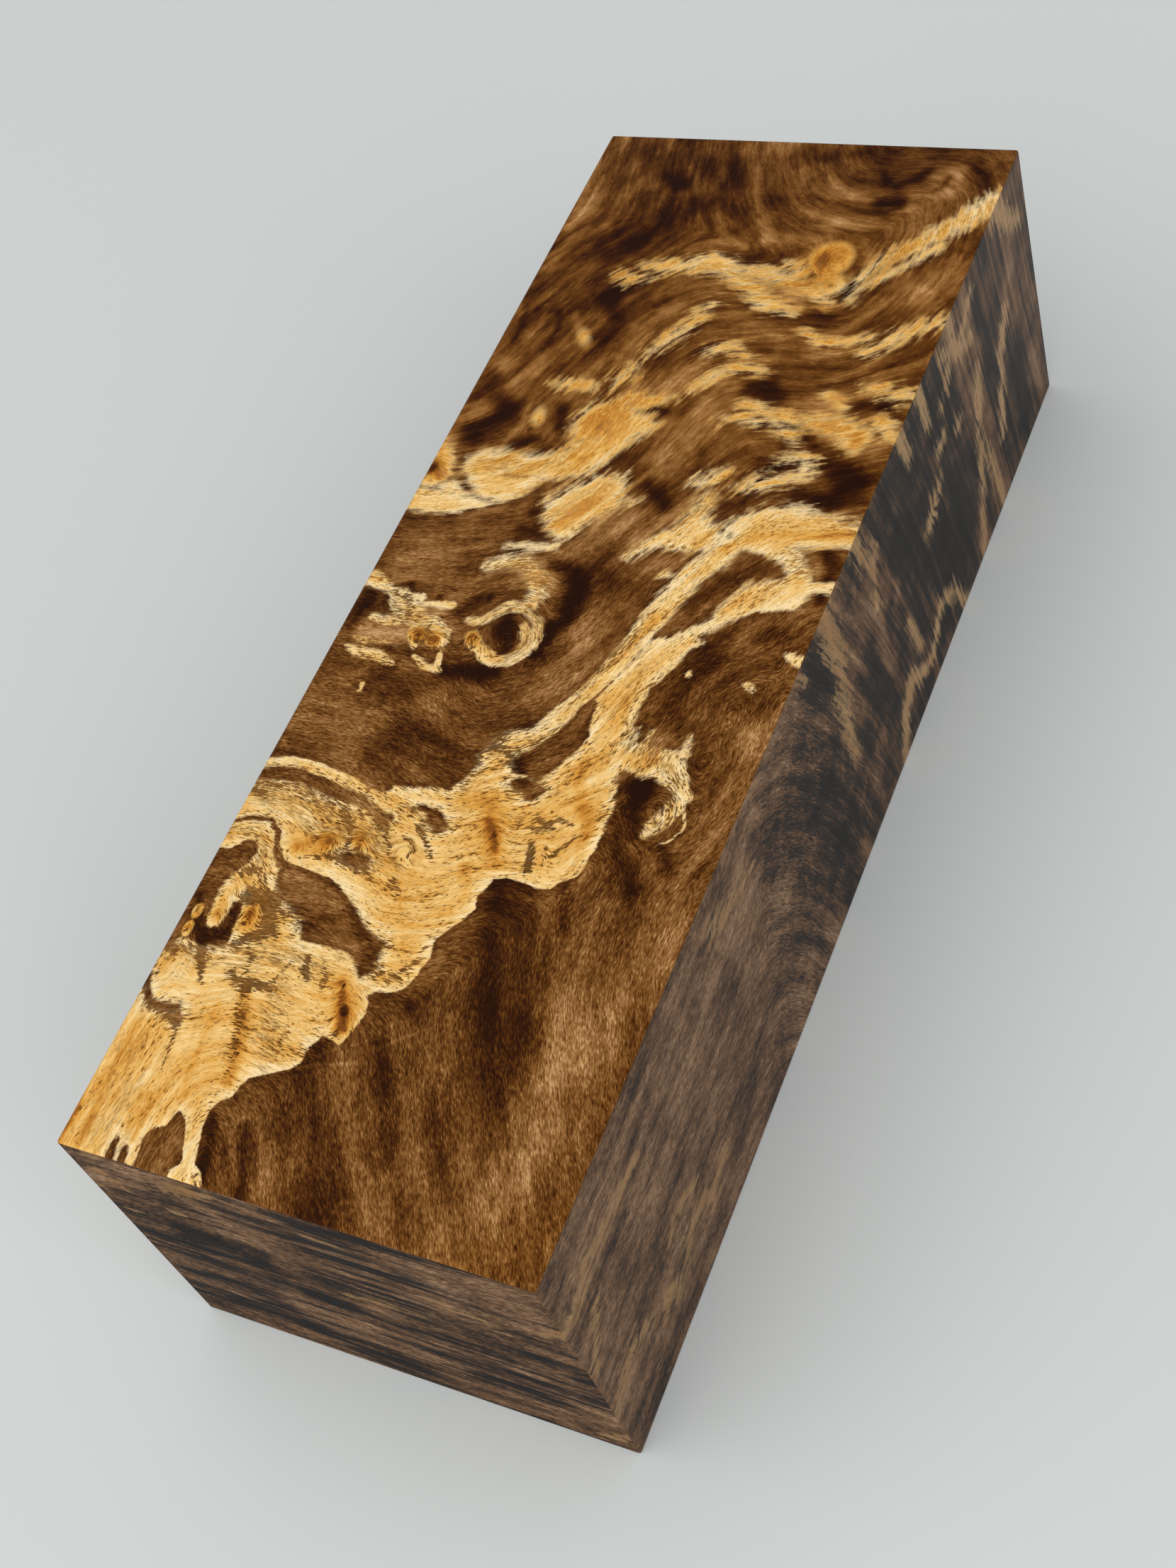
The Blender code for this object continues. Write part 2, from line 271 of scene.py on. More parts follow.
# Brown stain lying softly over the pale wood: (amount, softness, strokes).
TOP_STAINS = (
    (0.8, 0.35, ((-4.6, -26.9, 0.3), (-3.5, -27.9, 0.4), (-2.5, -29.0, 0.5), (-2.1, -29.8, 0.3))),
    (0.8, 0.30, ((-5.6, -27.9, 0.3), (-4.7, -28.3, 0.4), (-4.1, -29.0, 0.4), (-4.4, -30.0, 0.3))),
    (0.7, 0.30, ((-12.4, -26.4, 0.3), (-11.4, -27.4, 0.4), (-10.6, -28.6, 0.4), (-10.2, -30.0, 0.3))),
    (0.6, 0.30, ((-8.9, -26.9, 0.3), (-7.6, -27.8, 0.4), (-6.4, -29.2, 0.3), (-6.0, -30.4, 0.2))),
    (0.7, 0.35, ((-24, -26.3, 0.5), (-21.2, -26.2, 0.4), (-20.2, -26.7, 0.2))),
    (0.5, 0.30, ((-14.6, -28.4, 0.3), (-13.6, -29.4, 0.3), (-13.5, -30.8, 0.3))),
    (0.6, 0.45, ((-14.0, -31.8, 0.4), (-11.4, -31.2, 0.6), (-8.0, -31.6, 0.6), (-6.8, -32.4, 0.3))),
    (0.8, 0.25, ((-2.5, -17.3, 0.2), (-1.0, -17.5, 0.2), (0.6, -18.2, 0.3), (1.4, -19.4, 0.3))),
    (0.7, 0.50, ((-22.6, -45.3, 0.6), (-21.6, -47.0, 0.6), (-20.4, -48.4, 0.6), (-18.4, -48.2, 0.5),
                 (-17.2, -49.6, 0.4))),
    (0.8, 0.45, ((-18.7, -42.2, 0.6), (-18.0, -43.4, 0.8), (-17.0, -45.2, 0.3))),
    (0.5, 0.40, ((-17.0, -49.4, 0.3), (-16.6, -51.6, 0.5), (-16.2, -53.4, 0.3))),
    (0.8, 0.45, ((-8.7, -40.9, 0.5), (-8.3, -41.9, 0.8), (-7.7, -43.0, 0.4))),
    (0.5, 0.35, ((-6.9, -41.2, 0.3), (-6.2, -42.3, 0.5), (-6.0, -43.4, 0.3))),
    (0.5, 0.30, ((-9.9, -41.6, 0.3), (-10.3, -43.2, 0.4), (-11.6, -44.8, 0.3))),
    (0.6, 0.40, ((-14.4, -41.4, 0.4), (-13.6, -42.4, 0.6), (-13.4, -43.4, 0.3))),
    (0.8, 0.30, ((5.2, -23.6, 0.3), (6.4, -24.3, 0.5), (7.5, -23.5, 0.4), (8.8, -23.9, 0.3))),
    (0.7, 0.30, ((5.0, -24.9, 0.3), (6.2, -24.9, 0.4), (7.4, -24.5, 0.3))),
    (0.9, 0.35, ((5.9, -26.2, 0.4), (6.3, -27.4, 0.7), (6.7, -28.9, 0.4))),
    (0.8, 0.22, ((9.5, -24.9, 0.3), (8.9, -26.0, 0.3), (8.1, -27.3, 0.3))),
    (0.6, 0.22, ((7.2, -26.2, 0.2), (7.7, -27.8, 0.3), (8.6, -28.2, 0.2))),
    (0.5, 0.40, ((-15.0, 13.4, 0.3), (-12.5, 13.3, 0.5), (-10.6, 13.6, 0.5))),
    (0.6, 0.35, ((0.3, 42.6, 0.3), (2.5, 41.5, 0.3), (5.4, 41.1, 0.35), (6.8, 40.9, 0.3))),
    (0.7, 0.35, ((12.4, 24.2, 0.3), (13.4, 23.0, 0.3), (15.2, 22.1, 0.4), (16.8, 22.3, 0.3))),
    (0.6, 0.60, ((-14.8, -44.0, 1.2), (-12.6, -44.6, 1.2), (-10.6, -44.4, 0.8))),
    (0.5, 1.00, ((-12.9, -45.0, 0.8), (-11.9, -47.4, 1.0), (-11.0, -50.0, 1.0), (-10.3, -52.6, 0.5))),
    (0.6, 0.50, ((-18.4, -34.2, 0.5), (-17.0, -33.6, 0.6), (-16.0, -35.2, 0.6))),
    (0.7, 0.70, ((-17.0, -36.6, 0.8), (-14.8, -36.6, 1.4), (-13.4, -39.4, 1.6), (-15.6, -41.0, 0.8))),
    (0.5, 0.50, ((-4.6, -32.4, 0.4), (-3.9, -33.1, 0.8), (-3.4, -33.7, 0.4))),
    (0.4, 0.50, ((1.6, -36.2, 0.3), (1.0, -39.2, 0.6), (-0.6, -41.6, 0.6))),
    (0.5, 0.40, ((-24, -42.0, 1.0), (-21.8, -42.4, 0.8), (-20.8, -43.6, 0.4))),
    (0.5, 0.45, ((-10.6, 1.0, 0.4), (-8.6, 1.6, 0.6), (-6.8, 1.0, 0.5))),
    (0.4, 0.40, ((-18.4, -2.4, 0.5), (-16.8, -2.8, 0.6), (-16.2, -4.4, 0.5))),
    (0.5, 0.35, ((-13.6, -5.6, 0.3), (-13.2, -6.6, 0.4), (-13.4, -8.0, 0.4))),
)

# How strongly fine brown lines follow the grain: (amount, softness, strokes).
TOP_RIPPLE = (
    (0.7, 1.2, ((-24, -25.5, 2.4), (-18, -25.8, 3.4), (-13, -27.6, 3.6), (-8, -29.4, 3.4), (-5, -30.4, 2.0))),
    (0.6, 0.9, ((-24, -31.0, 1.4), (-19.6, -30.0, 1.4), (-17.6, -32.6, 1.6), (-17.0, -36.0, 2.0))),
    (0.8, 1.0, ((-14, -34.4, 1.4), (-9, -36.6, 3.0), (-4, -39.6, 2.0))),
    (0.7, 1.0, ((-21.0, -42.6, 1.6), (-16, -42.4, 2.4), (-11, -41.4, 1.8), (-6.4, -41.2, 1.4))),
    (0.5, 1.0, ((-10.0, -44.5, 2.0), (-8.4, -48.6, 3.0), (-7.6, -51.4, 1.8))),
    (0.6, 1.0, ((-22.6, -46.4, 1.2), (-20.4, -48.4, 1.6), (-17.4, -48.4, 1.4))),
    (0.3, 1.0, ((-20, -52, 3.0), (-18, -60, 4.0))),
    (0.4, 0.8, ((8.2, -12.0, 1.6), (8.6, -8.4, 1.6), (6.6, -4.0, 1.2), (3.4, -11.6, 1.0))),
    (0.6, 0.8, ((10.8, -15.2, 1.6), (13.0, -15.6, 2.0), (16.0, -18.2, 1.4), (15.4, -22.6, 1.4))),
    (0.8, 1.0, ((3.4, -16.4, 1.6), (5.2, -13.0, 0.8))),
    (0.5, 1.2, ((-20, -3.6, 2.4), (-14, -5.4, 3.0), (-9, -6.0, 2.4))),
    (0.6, 1.0, ((-10, 1.4, 1.6), (-7.0, 2.6, 2.0), (-4.6, 0.0, 1.6), (-2.6, -4.6, 1.4), (-4.4, -8.4, 1.4))),
    (0.4, 1.2, ((-17, 14.6, 2.0), (-10, 15.0, 2.0), (-6.4, 19.0, 2.0), (-5.0, 23.6, 2.0))),
    (0.4, 1.2, ((-6.6, 8.6, 2.0), (-3.4, 12.4, 2.4))),
    (0.4, 1.2, ((-5.0, 44.0, 1.4), (0.0, 42.6, 1.6), (6.0, 41.2, 2.0))),
    (0.4, 1.2, ((13, 44.8, 1.4), (17, 49.2, 1.6), (22, 54.8, 1.8))),
    (0.4, 1.0, ((14, 24, 1.4), (18.4, 23, 2.0))),
    (0.5, 0.8, ((-22, 13.4, 2.0), (-19.4, 12.6, 1.0))),
)

# Light and dark in the brown wood: (amount, softness, strokes). A positive amount is lighter.
TOP_SHADES = (
    # dark bands of the near half, which lean with the grain: partly the wood's own tone, partly painted sheen
    # and shade of its chatoyance
    (-0.26, 1.4, ((5.6, -30.0, 4.6), (7.4, -35.0, 5.6), (9.4, -40.0, 5.8), (11.2, -44.5, 5.2),
                  (12.6, -48.5, 3.0), (14.0, -53.0, 0.8))),
    (-0.16, 1.0, ((4.8, -30.4, 1.6), (6.0, -35.0, 1.8), (7.8, -40.0, 1.8), (9.6, -44.0, 1.0))),
    (-0.26, 0.8, ((10.4, -29.8, 1.0), (11.2, -31.8, 1.0), (12.0, -33.4, 0.5))),
    (-0.30, 0.9, ((1.2, -47.2, 1.0), (3.0, -50.0, 1.6), (5.0, -53.0, 1.2), (6.6, -56.4, 0.8))),
    (-0.24, 0.9, ((-4.0, -50.2, 1.8), (-1.6, -54.0, 3.0), (0.6, -57.2, 3.4), (2.8, -60.2, 3.8),
                  (4.4, -64, 3.8))),
    (-0.38, 0.5, ((-9.7, -56.4, 0.6), (-8.8, -58.6, 0.9), (-7.9, -62.8, 0.9))),
    (-0.46, 0.5, ((-6.6, -56.6, 0.8), (-5.6, -58.2, 1.2), (-4.4, -60.2, 1.2), (-3.6, -63.6, 1.0))),
    (-0.16, 0.8, ((0.8, -59.6, 0.8), (2.4, -63.6, 0.8))),
    (0.22, 0.4, ((-5.6, -57.6, 0.3), (-4.4, -60.0, 0.3), (-3.2, -62.8, 0.3))),
    (0.14, 0.8, ((-0.4, -49.4, 0.8), (2.0, -53.0, 1.0), (4.0, -57.0, 1.2), (7.0, -61.0, 1.2))),
    (-0.22, 1.2, ((8.0, -50.0, 1.4), (10.0, -54.0, 1.4), (13.2, -57.6, 1.0))),
    (-0.20, 0.8, ((13.2, -53.8, 1.0), (14.0, -55.4, 0.8))),
    (0.18, 3.0, ((19.0, -33.0, 4.0), (18.6, -45.0, 5.0), (15.0, -60.0, 6.0))),
    (0.14, 1.5, ((14.2, -31.0, 1.0), (14.6, -40.0, 1.6), (16.4, -47.0, 1.4))),
    (-0.18, 1.0, ((15.5, -27.0, 1.6), (17.0, -31.0, 1.6), (18.6, -36.0, 0.8))),
    (-0.20, 0.25, ((16.0, -47.0, 0.15), (16.0, -59.5, 0.15))),
    (0.30, 0.15, ((-5.4, -51.0, 0.12), (-3.0, -50.0, 0.12), (-0.4, -49.2, 0.12))),
    (0.30, 0.15, ((1.1, -47.6, 0.12), (2.8, -46.2, 0.12), (4.4, -45.0, 0.12))),
    (0.30, 0.15, ((-5.4, -39.1, 0.12), (-4.0, -38.4, 0.12), (-2.7, -38.0, 0.12))),
    (-0.12, 1.0, ((-1.0, -43.2, 1.0), (1.0, -44.5, 1.4), (3.0, -42.0, 1.6), (4.5, -38.0, 1.4))),
    (-0.30, 0.8, ((-3.6, -48.4, 0.8), (-3.6, -49.6, 1.0), (-2.4, -49.8, 0.8))),
    # dark ground of the left-hand eyes
    (-0.42, 0.5, ((-21.4, -37.6, 0.6), (-20.0, -40.4, 0.8), (-18.8, -41.2, 1.4), (-17.2, -40.4, 0.8),
                  (-17.3, -38.0, 0.5))),
    (-0.22, 0.8, ((-23, -34.0, 0.8), (-20.0, -33.2, 0.8), (-18.8, -31.8, 0.6))),
    (-0.20, 0.6, ((-10.2, -37.8, 0.8), (-7.0, -36.2, 0.8), (-3.6, -39.0, 1.2), (-3.2, -41.2, 0.8))),
    (0.16, 0.6, ((-14.0, -33.6, 0.8), (-9.0, -34.8, 0.8), (-5.8, -37.6, 0.5))),
    # the wide brown field and its dark upper rim
    (-0.26, 1.6, ((-15.6, -11.6, 1.6), (-16.2, -13.4, 1.2), (-12.0, -13.0, 1.0))),
    (-0.50, 0.9, ((-9.6, -10.4, 1.2), (-7.4, -10.0, 1.8), (-5.0, -9.8, 1.0))),
    (-0.42, 0.9, ((-4.4, 3.4, 1.0), (-2.2, 2.6, 2.0), (-1.0, 0.4, 2.6), (-0.6, -2.6, 1.8),
                  (-1.4, -4.6, 0.8))),
    (-0.45, 0.6, ((-1.9, -3.6, 0.8), (-1.5, -5.6, 1.0), (-2.0, -7.2, 0.5))),
    (-0.46, 0.7, ((-6.2, -3.6, 1.2), (-5.6, -5.2, 2.4), (-5.0, -7.0, 1.2))),
    (-0.30, 0.8, ((-21.0, -3.6, 1.6), (-21.4, -7.0, 1.0))),
    (-0.24, 0.8, ((-10.2, -1.8, 1.2), (-11.4, -3.8, 0.8))),
    (0.20, 1.2, ((-20.4, -6.6, 2.2), (-15.6, -6.7, 1.8))),
    (0.14, 1.2, ((-16.6, -1.4, 1.6), (-13.0, -3.8, 1.6), (-11.0, -5.6, 1.2))),
    (0.12, 1.2, ((-20.0, 1.4, 1.8), (-12.0, 0.6, 2.0), (-9.4, 0.2, 1.0))),
    (-0.14, 3.0, ((-10.0, -19.0, 4.0), (-4.5, -20.5, 2.4))),
    (-0.12, 1.6, ((-12.0, -16.5, 1.5), (-5.0, -18.0, 1.5), (-4.0, -21.0, 1.0))),
    (0.10, 2.0, ((-21.5, -15.0, 1.5), (-20.0, -19.5, 2.0))),
    (0.10, 1.8, ((2.5, -1.0, 2.0), (1.8, -6.0, 2.0), (0.8, -11.0, 1.6))),
    (-0.24, 0.8, ((6.0, -12.6, 0.5), (5.8, -14.6, 0.6))),
    (-0.28, 0.6, ((1.1, -18.4, 0.8), (3.0, -20.8, 0.8))),
    (-0.22, 1.4, ((12.0, -3.0, 0.4), (14.0, -4.4, 2.0), (13.0, -9.0, 2.4), (14.0, -12.4, 1.6))),
    (-0.20, 0.9, ((10.2, 1.0, 1.0), (12.2, 3.4, 1.6), (14.8, 5.6, 2.0))),
    (-0.16, 1.2, ((17.4, -1.8, 1.4), (19.8, -1.0, 1.6))),
    (-0.34, 0.6, ((20.5, 8.2, 1.2), (21.6, 7.0, 1.4), (21.6, 2.9, 1.0))),
    (-0.50, 0.7, ((12.4, -18.9, 1.6), (14.0, -18.6, 1.2), (13.2, -21.0, 1.4), (14.4, -23.6, 0.6))),
    (-0.30, 1.0, ((12.2, -22.0, 0.8), (13.8, -25.6, 1.2), (16.2, -29.0, 1.0))),
    (-0.34, 0.8, ((17.2, -24.6, 0.8), (18.6, -26.6, 0.8))),
    (0.12, 1.2, ((20.6, -12.0, 1.2), (20.6, -22.0, 1.4), (20.0, -30.0, 1.4))),
    # far half
    (-0.12, 5.0, ((-18.0, 28.0, 6.0), (-15.0, 40.0, 9.0), (-11.0, 54.0, 9.0), (-10.0, 64.0, 9.0))),
    (-0.40, 1.2, ((-19.6, 18.4, 2.4), (-17.0, 21.2, 2.4), (-18.6, 23.0, 1.6))),
    (-0.46, 1.0, ((-11.4, 22.6, 1.0), (-10.8, 20.0, 0.8))),
    (-0.30, 1.2, ((-12.6, 18.2, 1.0), (-15.0, 17.6, 1.0))),
    (0.20, 0.4, ((-16.0, 16.6, 0.4), (-15.0, 20.0, 0.4), (-15.4, 23.6, 0.4))),
    (-0.20, 2.0, ((-15.0, 29.0, 2.4), (-11.0, 31.0, 2.0), (-10.6, 36.0, 2.4), (-12.4, 38.6, 2.4))),
    (-0.26, 1.2, ((-11.2, 35.6, 1.0), (-13.0, 38.4, 1.6))),
    (0.16, 1.0, ((-20.4, 28.0, 1.2), (-18.4, 25.6, 0.8))),
    (-0.40, 0.7, ((-3.6, 23.3, 0.4), (-2.0, 23.6, 0.8), (-0.9, 23.4, 0.6))),
    (-0.38, 1.2, ((0.8, 14.0, 1.0), (2.4, 13.0, 1.6), (3.6, 11.6, 0.8))),
    (-0.24, 0.8, ((-9.6, 12.4, 0.6), (-9.2, 9.0, 1.0), (-7.4, 6.6, 1.0), (-9.6, 7.4, 1.0))),
    (-0.36, 1.0, ((6.2, 27.4, 1.0), (8.0, 27.8, 2.0), (9.8, 26.6, 1.0))),
    (-0.30, 0.8, ((9.0, 22.6, 0.6), (10.0, 23.6, 0.5), (13.0, 22.6, 0.4), (15.0, 21.0, 0.8))),
    (-0.22, 1.4, ((9.0, 19.2, 1.6), (12.0, 18.0, 1.4), (9.0, 12.6, 1.0), (11.4, 13.6, 1.2))),
    (-0.30, 1.4, ((17.4, 19.0, 2.4), (20.0, 17.0, 2.6), (19.0, 14.8, 1.4), (14.4, 14.6, 0.8))),
    (-0.26, 0.9, ((17.6, 26.6, 0.8), (20.0, 26.4, 1.2), (21.6, 26.0, 0.8))),
    (0.10, 2.0, ((2.6, 24.0, 2.4), (4.6, 19.0, 2.4), (1.6, 8.0, 2.0))),
    (0.12, 2.2, ((13.0, 29.8, 2.0), (17.0, 31.0, 2.0), (6.0, 35.0, 2.0))),
    (0.14, 1.6, ((15.0, 38.0, 2.4), (19.0, 43.0, 3.0), (21.0, 48.0, 2.0))),
    (0.12, 1.2, ((1.2, 37.0, 1.2), (5.0, 36.6, 1.4))),
    (-0.14, 2.0, ((-6.0, 38.0, 2.4), (-2.0, 41.0, 0.8))),
    (-0.22, 1.2, ((10.4, 37.6, 1.4), (8.6, 38.8, 0.6))),
    (-0.24, 2.4, ((-12.0, 48.0, 3.0), (-10.0, 52.0, 3.0), (-14.0, 45.0, 2.0))),
    (-0.34, 1.2, ((-13.6, 57.0, 1.4), (-11.4, 55.8, 1.8))),
    (-0.16, 2.4, ((-9.0, 59.0, 2.0), (-7.0, 55.0, 2.0), (-4.0, 49.0, 1.0))),
    (0.20, 1.0, ((-6.4, 62.0, 0.8), (-4.2, 57.7, 0.9), (-3.0, 55.0, 0.9), (-1.0, 51.6, 0.8),
                 (0.9, 48.0, 0.6))),
    (0.14, 1.4, ((-4.6, 47.8, 1.0), (-1.0, 47.0, 1.6), (4.0, 48.6, 1.6), (7.0, 50.4, 1.8))),
    (0.12, 1.6, ((-17.6, 57.6, 1.6), (-16.0, 55.0, 1.2))),
    (0.22, 0.7, ((-15.4, 64, 0.5), (-14.7, 61.2, 0.5))),
    (0.20, 0.6, ((-20.6, 63, 0.5), (-19.8, 61.0, 0.5))),
    (0.14, 1.0, ((-17.6, 49.0, 0.8), (-15.8, 45.8, 0.8), (-13.0, 44.0, 0.8))),
    (0.16, 0.9, ((-21.4, 48.0, 0.8), (-20.6, 45.6, 0.8), (-21.2, 42.0, 0.8))),
    (-0.26, 0.6, ((3.2, 54.8, 0.4), (6.4, 53.8, 0.5), (9.3, 52.9, 0.8), (11.7, 52.7, 1.2),
                  (13.2, 53.8, 0.8))),
    (-0.44, 0.8, ((10.8, 54.2, 1.2), (12.6, 54.6, 1.6))),
    (-0.34, 0.7, ((11.8, 56.8, 0.8), (13.4, 58.0, 1.2), (14.4, 59.4, 0.8))),
    (-0.30, 0.4, ((9.8, 58.6, 0.4), (10.6, 57.2, 0.6))),
    (-0.26, 0.5, ((16.7, 58.4, 0.5), (16.4, 57.0, 0.5), (15.8, 56.4, 0.3))),
    (0.16, 1.0, ((15.0, 58.6, 0.8), (17.4, 59.6, 1.0), (18.0, 56.4, 0.8))),
    (-0.20, 1.4, ((19.0, 61.0, 1.4), (21.0, 58.0, 1.4))),
    (-0.20, 2.0, ((2.0, 60.6, 1.4), (8.0, 62.0, 2.0), (14.0, 62.4, 1.4))),
    (-0.36, 0.5, ((12.2, 42.7, 0.8), (11.4, 41.4, 0.5), (12.0, 39.8, 0.4))),
    (-0.20, 0.6, ((11.0, 46.6, 0.4), (10.9, 44.4, 0.5), (9.4, 43.5, 0.4), (7.6, 43.4, 0.3))),
    # the far cluster at the left edge
    (-0.26, 0.5, ((-21.4, 36.4, 0.4), (-20.6, 33.0, 0.5), (-20.8, 31.2, 0.4))),
    (-0.26, 0.5, ((-17.6, 36.0, 0.4), (-16.6, 33.6, 0.5), (-16.8, 31.4, 0.4))),
    (0.18, 0.5, ((-19.2, 36.6, 0.4), (-18.8, 33.6, 0.4), (-19.4, 31.0, 0.4))),
    (0.20, 0.5, ((-15.6, 35.6, 0.5), (-14.6, 33.6, 0.4), (-13.2, 32.0, 0.4))),
)

# Honey and orange tints: (amount, softness, strokes).
TOP_HONEY = (
    # warmer wood over the far half, at the near right corner and along the left edge
    (0.38, 9.0, ((-24, 34, 40.0), (24, 34, 40.0))),
    (0.45, 5.0, ((10, -66, 5.0), (24, -58, 6.0))),
    (0.30, 2.0, ((-24, -60, 2.0), (-24, -20, 3.0), (-24, 20, 3.0))),
    (0.30, 1.0, ((-24, -66, 3.0), (24, -66, 3.0))),
    (0.60, 0.6, ((-4.8, -42.4, 0.4), (-3.9, -43.8, 0.8), (-3.1, -45.0, 1.3), (-2.6, -46.4, 0.8))),
    (0.22, 1.0, ((-4.6, -41.8, 0.8), (-2.4, -46.8, 1.0))),
    (0.50, 0.5, ((1.1, -24.8, 0.6), (2.3, -26.2, 1.2), (3.2, -27.8, 0.6))),
    (0.45, 1.2, ((-1.6, -23.4, 0.8), (0.6, -23.0, 0.8), (3.6, -28.6, 1.0))),
    (0.50, 0.6, ((-12.6, -45.2, 0.6), (-11.6, -47.5, 1.0), (-10.4, -50.7, 1.2), (-9.8, -53.4, 0.6))),
    (0.45, 0.4, ((-22.6, -52.0, 0.5), (-22.2, -57.0, 0.6), (-21.6, -62.0, 0.5))),
    (0.35, 0.4, ((-20.6, -50.0, 0.4), (-20.4, -57.0, 0.6), (-19.8, -62.0, 0.4))),
    (0.40, 0.4, ((-17.0, -57.6, 0.3), (-16.8, -56.3, 0.4), (-16.1, -55.9, 0.4), (-15.6, -56.6, 0.4),
                 (-15.4, -60.0, 0.4))),
    (0.30, 0.4, ((-16.2, -57.4, 0.5), (-16.2, -60.6, 0.5))),
    (0.25, 0.4, ((-14.4, -47.0, 0.5), (-13.8, -52.0, 0.5), (-13.4, -55.0, 0.3))),
    (0.35, 0.4, ((-10.4, -56.6, 0.3), (-10.5, -58.6, 0.4))),
    (0.30, 0.6, ((-20.6, -38.9, 0.7), (-20.8, -40.7, 0.7))),
    (0.30, 0.6, ((-15.9, -37.6, 0.5), (-15.8, -38.6, 0.6))),
    (0.22, 0.6, ((-18.9, -38.2, 0.4), (-18.7, -39.0, 0.5))),
    (0.40, 0.8, ((-14.6, -31.0, 0.8), (-12.8, -29.6, 0.8), (-11.2, -29.8, 0.6))),
    (0.40, 0.8, ((-9.6, -29.0, 0.6), (-8.6, -30.0, 0.6), (-5.4, -30.6, 0.8))),
    (0.35, 0.6, ((1.2, -30.0, 0.8), (2.4, -32.0, 0.8))),
    (0.25, 1.2, ((-3.0, -34.5, 1.5), (-1.0, -37.6, 1.0))),
    (0.45, 0.8, ((9.2, -22.0, 0.8), (10.4, -24.2, 0.8), (10.6, -26.4, 0.6))),
    (0.30, 0.5, ((6.9, -15.8, 0.6), (7.4, -19.0, 0.8), (8.8, -22.2, 0.8))),
    (0.22, 0.5, ((8.4, -10.0, 0.5), (8.6, -13.0, 0.6))),
    (0.20, 0.6, ((4.6, -10.4, 0.4), (6.4, -5.0, 0.5), (7.6, -1.0, 0.5))),
    (0.35, 0.8, ((11.4, 7.4, 0.8), (13.2, 9.6, 0.8), (17.0, 10.0, 0.8), (22.0, 10.6, 1.0))),
    (0.25, 0.8, ((18.4, 5.0, 0.8), (21.0, 4.5, 0.6))),
    (0.30, 0.6, ((-8.8, -6.2, 1.2), (-5.0, -8.3, 0.5))),
    (0.35, 0.6, ((-14.2, -6.6, 1.0), (-12.3, -7.0, 1.0))),
    (0.40, 0.7, ((-8.0, 16.6, 0.8), (-7.0, 16.2, 0.8), (-6.4, 17.0, 0.6))),
    (0.22, 1.5, ((-15.0, 15.4, 0.8), (-11.0, 15.4, 0.8), (-7.0, 20.0, 2.0), (-7.0, 23.0, 1.5))),
    (0.45, 0.6, ((-21.9, 13.4, 1.6), (-20.6, 12.0, 0.8))),
    (0.25, 1.0, ((-22.0, 8.6, 0.8), (-17.0, 8.8, 0.8))),
    (0.20, 1.0, ((-5.6, 8.0, 1.0), (-4.0, 11.0, 1.6))),
    (0.35, 0.8, ((18.6, 22.6, 0.8), (18.9, 21.2, 0.6))),
)

# Pores: (amount, softness, strokes). 1 is the densest pepper, and a negative amount clears it.
TOP_PEPPER = (
    (0.55, 1.2, ((-1.6, -17.0, 1.6), (-0.6, -20.0, 2.6), (-1.0, -24.0, 3.0), (0.0, -28.0, 3.0),
                 (1.6, -31.0, 2.4), (-1.0, -34.0, 2.0))),
    (0.55, 1.0, ((3.6, -23.6, 1.6), (5.0, -27.6, 1.6), (8.0, -29.6, 0.8), (10.6, -27.6, 0.8))),
    (0.45, 1.0, ((6.8, -21.0, 1.2), (7.6, -18.0, 1.2), (7.2, -15.8, 1.0))),
    (0.50, 1.0, ((-3.4, -40.6, 1.0), (-0.8, -40.8, 1.6), (0.8, -41.2, 1.0))),
    (0.35, 1.0, ((-5.0, -33.0, 1.2), (-2.4, -36.0, 1.6), (-0.4, -38.6, 1.2))),
    (0.45, 0.8, ((-15.0, -35.2, 0.6), (-13.0, -37.4, 1.6), (-11.6, -39.0, 1.6))),
    (0.40, 0.8, ((-17.6, -34.4, 0.8), (-16.2, -36.0, 1.0))),
    (0.45, 0.8, ((-12.4, -43.4, 1.2), (-10.6, -44.6, 1.0), (-9.0, -42.4, 1.0), (-5.0, -43.6, 0.8))),
    (0.35, 1.2, ((-8.6, -45.0, 1.6), (-7.4, -48.0, 1.6))),
    (0.40, 0.6, ((-5.2, -45.8, 0.6), (-5.0, -48.6, 0.6))),
    (0.45, 0.6, ((-12.4, -45.8, 0.6), (-11.4, -48.0, 0.8), (-10.6, -51.0, 0.6))),
    (0.35, 0.6, ((-17.0, -50.0, 0.5), (-16.6, -53.6, 0.5))),
    (0.35, 0.8, ((2.2, -14.6, 0.8), (4.4, -9.8, 1.0), (6.2, -4.4, 1.2), (7.6, 0.0, 1.4), (9.6, 5.0, 1.6))),
    (0.35, 0.8, ((8.4, -5.6, 1.6), (10.8, -4.2, 1.2), (13.4, -1.0, 0.8))),
    (0.60, 0.9, ((11.6, 9.2, 1.4), (15.0, 11.0, 2.2), (19.0, 11.2, 2.0), (23.0, 11.0, 1.4))),
    (0.65, 0.9, ((14.6, 1.6, 1.0), (17.6, 3.4, 1.6), (19.0, 5.6, 1.2), (17.0, 8.0, 1.4))),
    (0.40, 0.8, ((14.6, -16.0, 0.8), (16.4, -18.6, 0.8), (16.6, -20.6, 0.8))),
    (-0.50, 1.0, ((-21.0, -44.0, 1.0), (-20.0, -54.0, 2.4), (-18.0, -61.0, 3.0))),
    (-0.30, 0.8, ((-20.0, -22.4, 0.6), (-12.0, -23.4, 0.4))),
    (-0.30, 1.0, ((-14.0, -30.0, 1.4), (-9.0, -29.0, 1.4), (-6.0, -30.6, 1.0))),
)

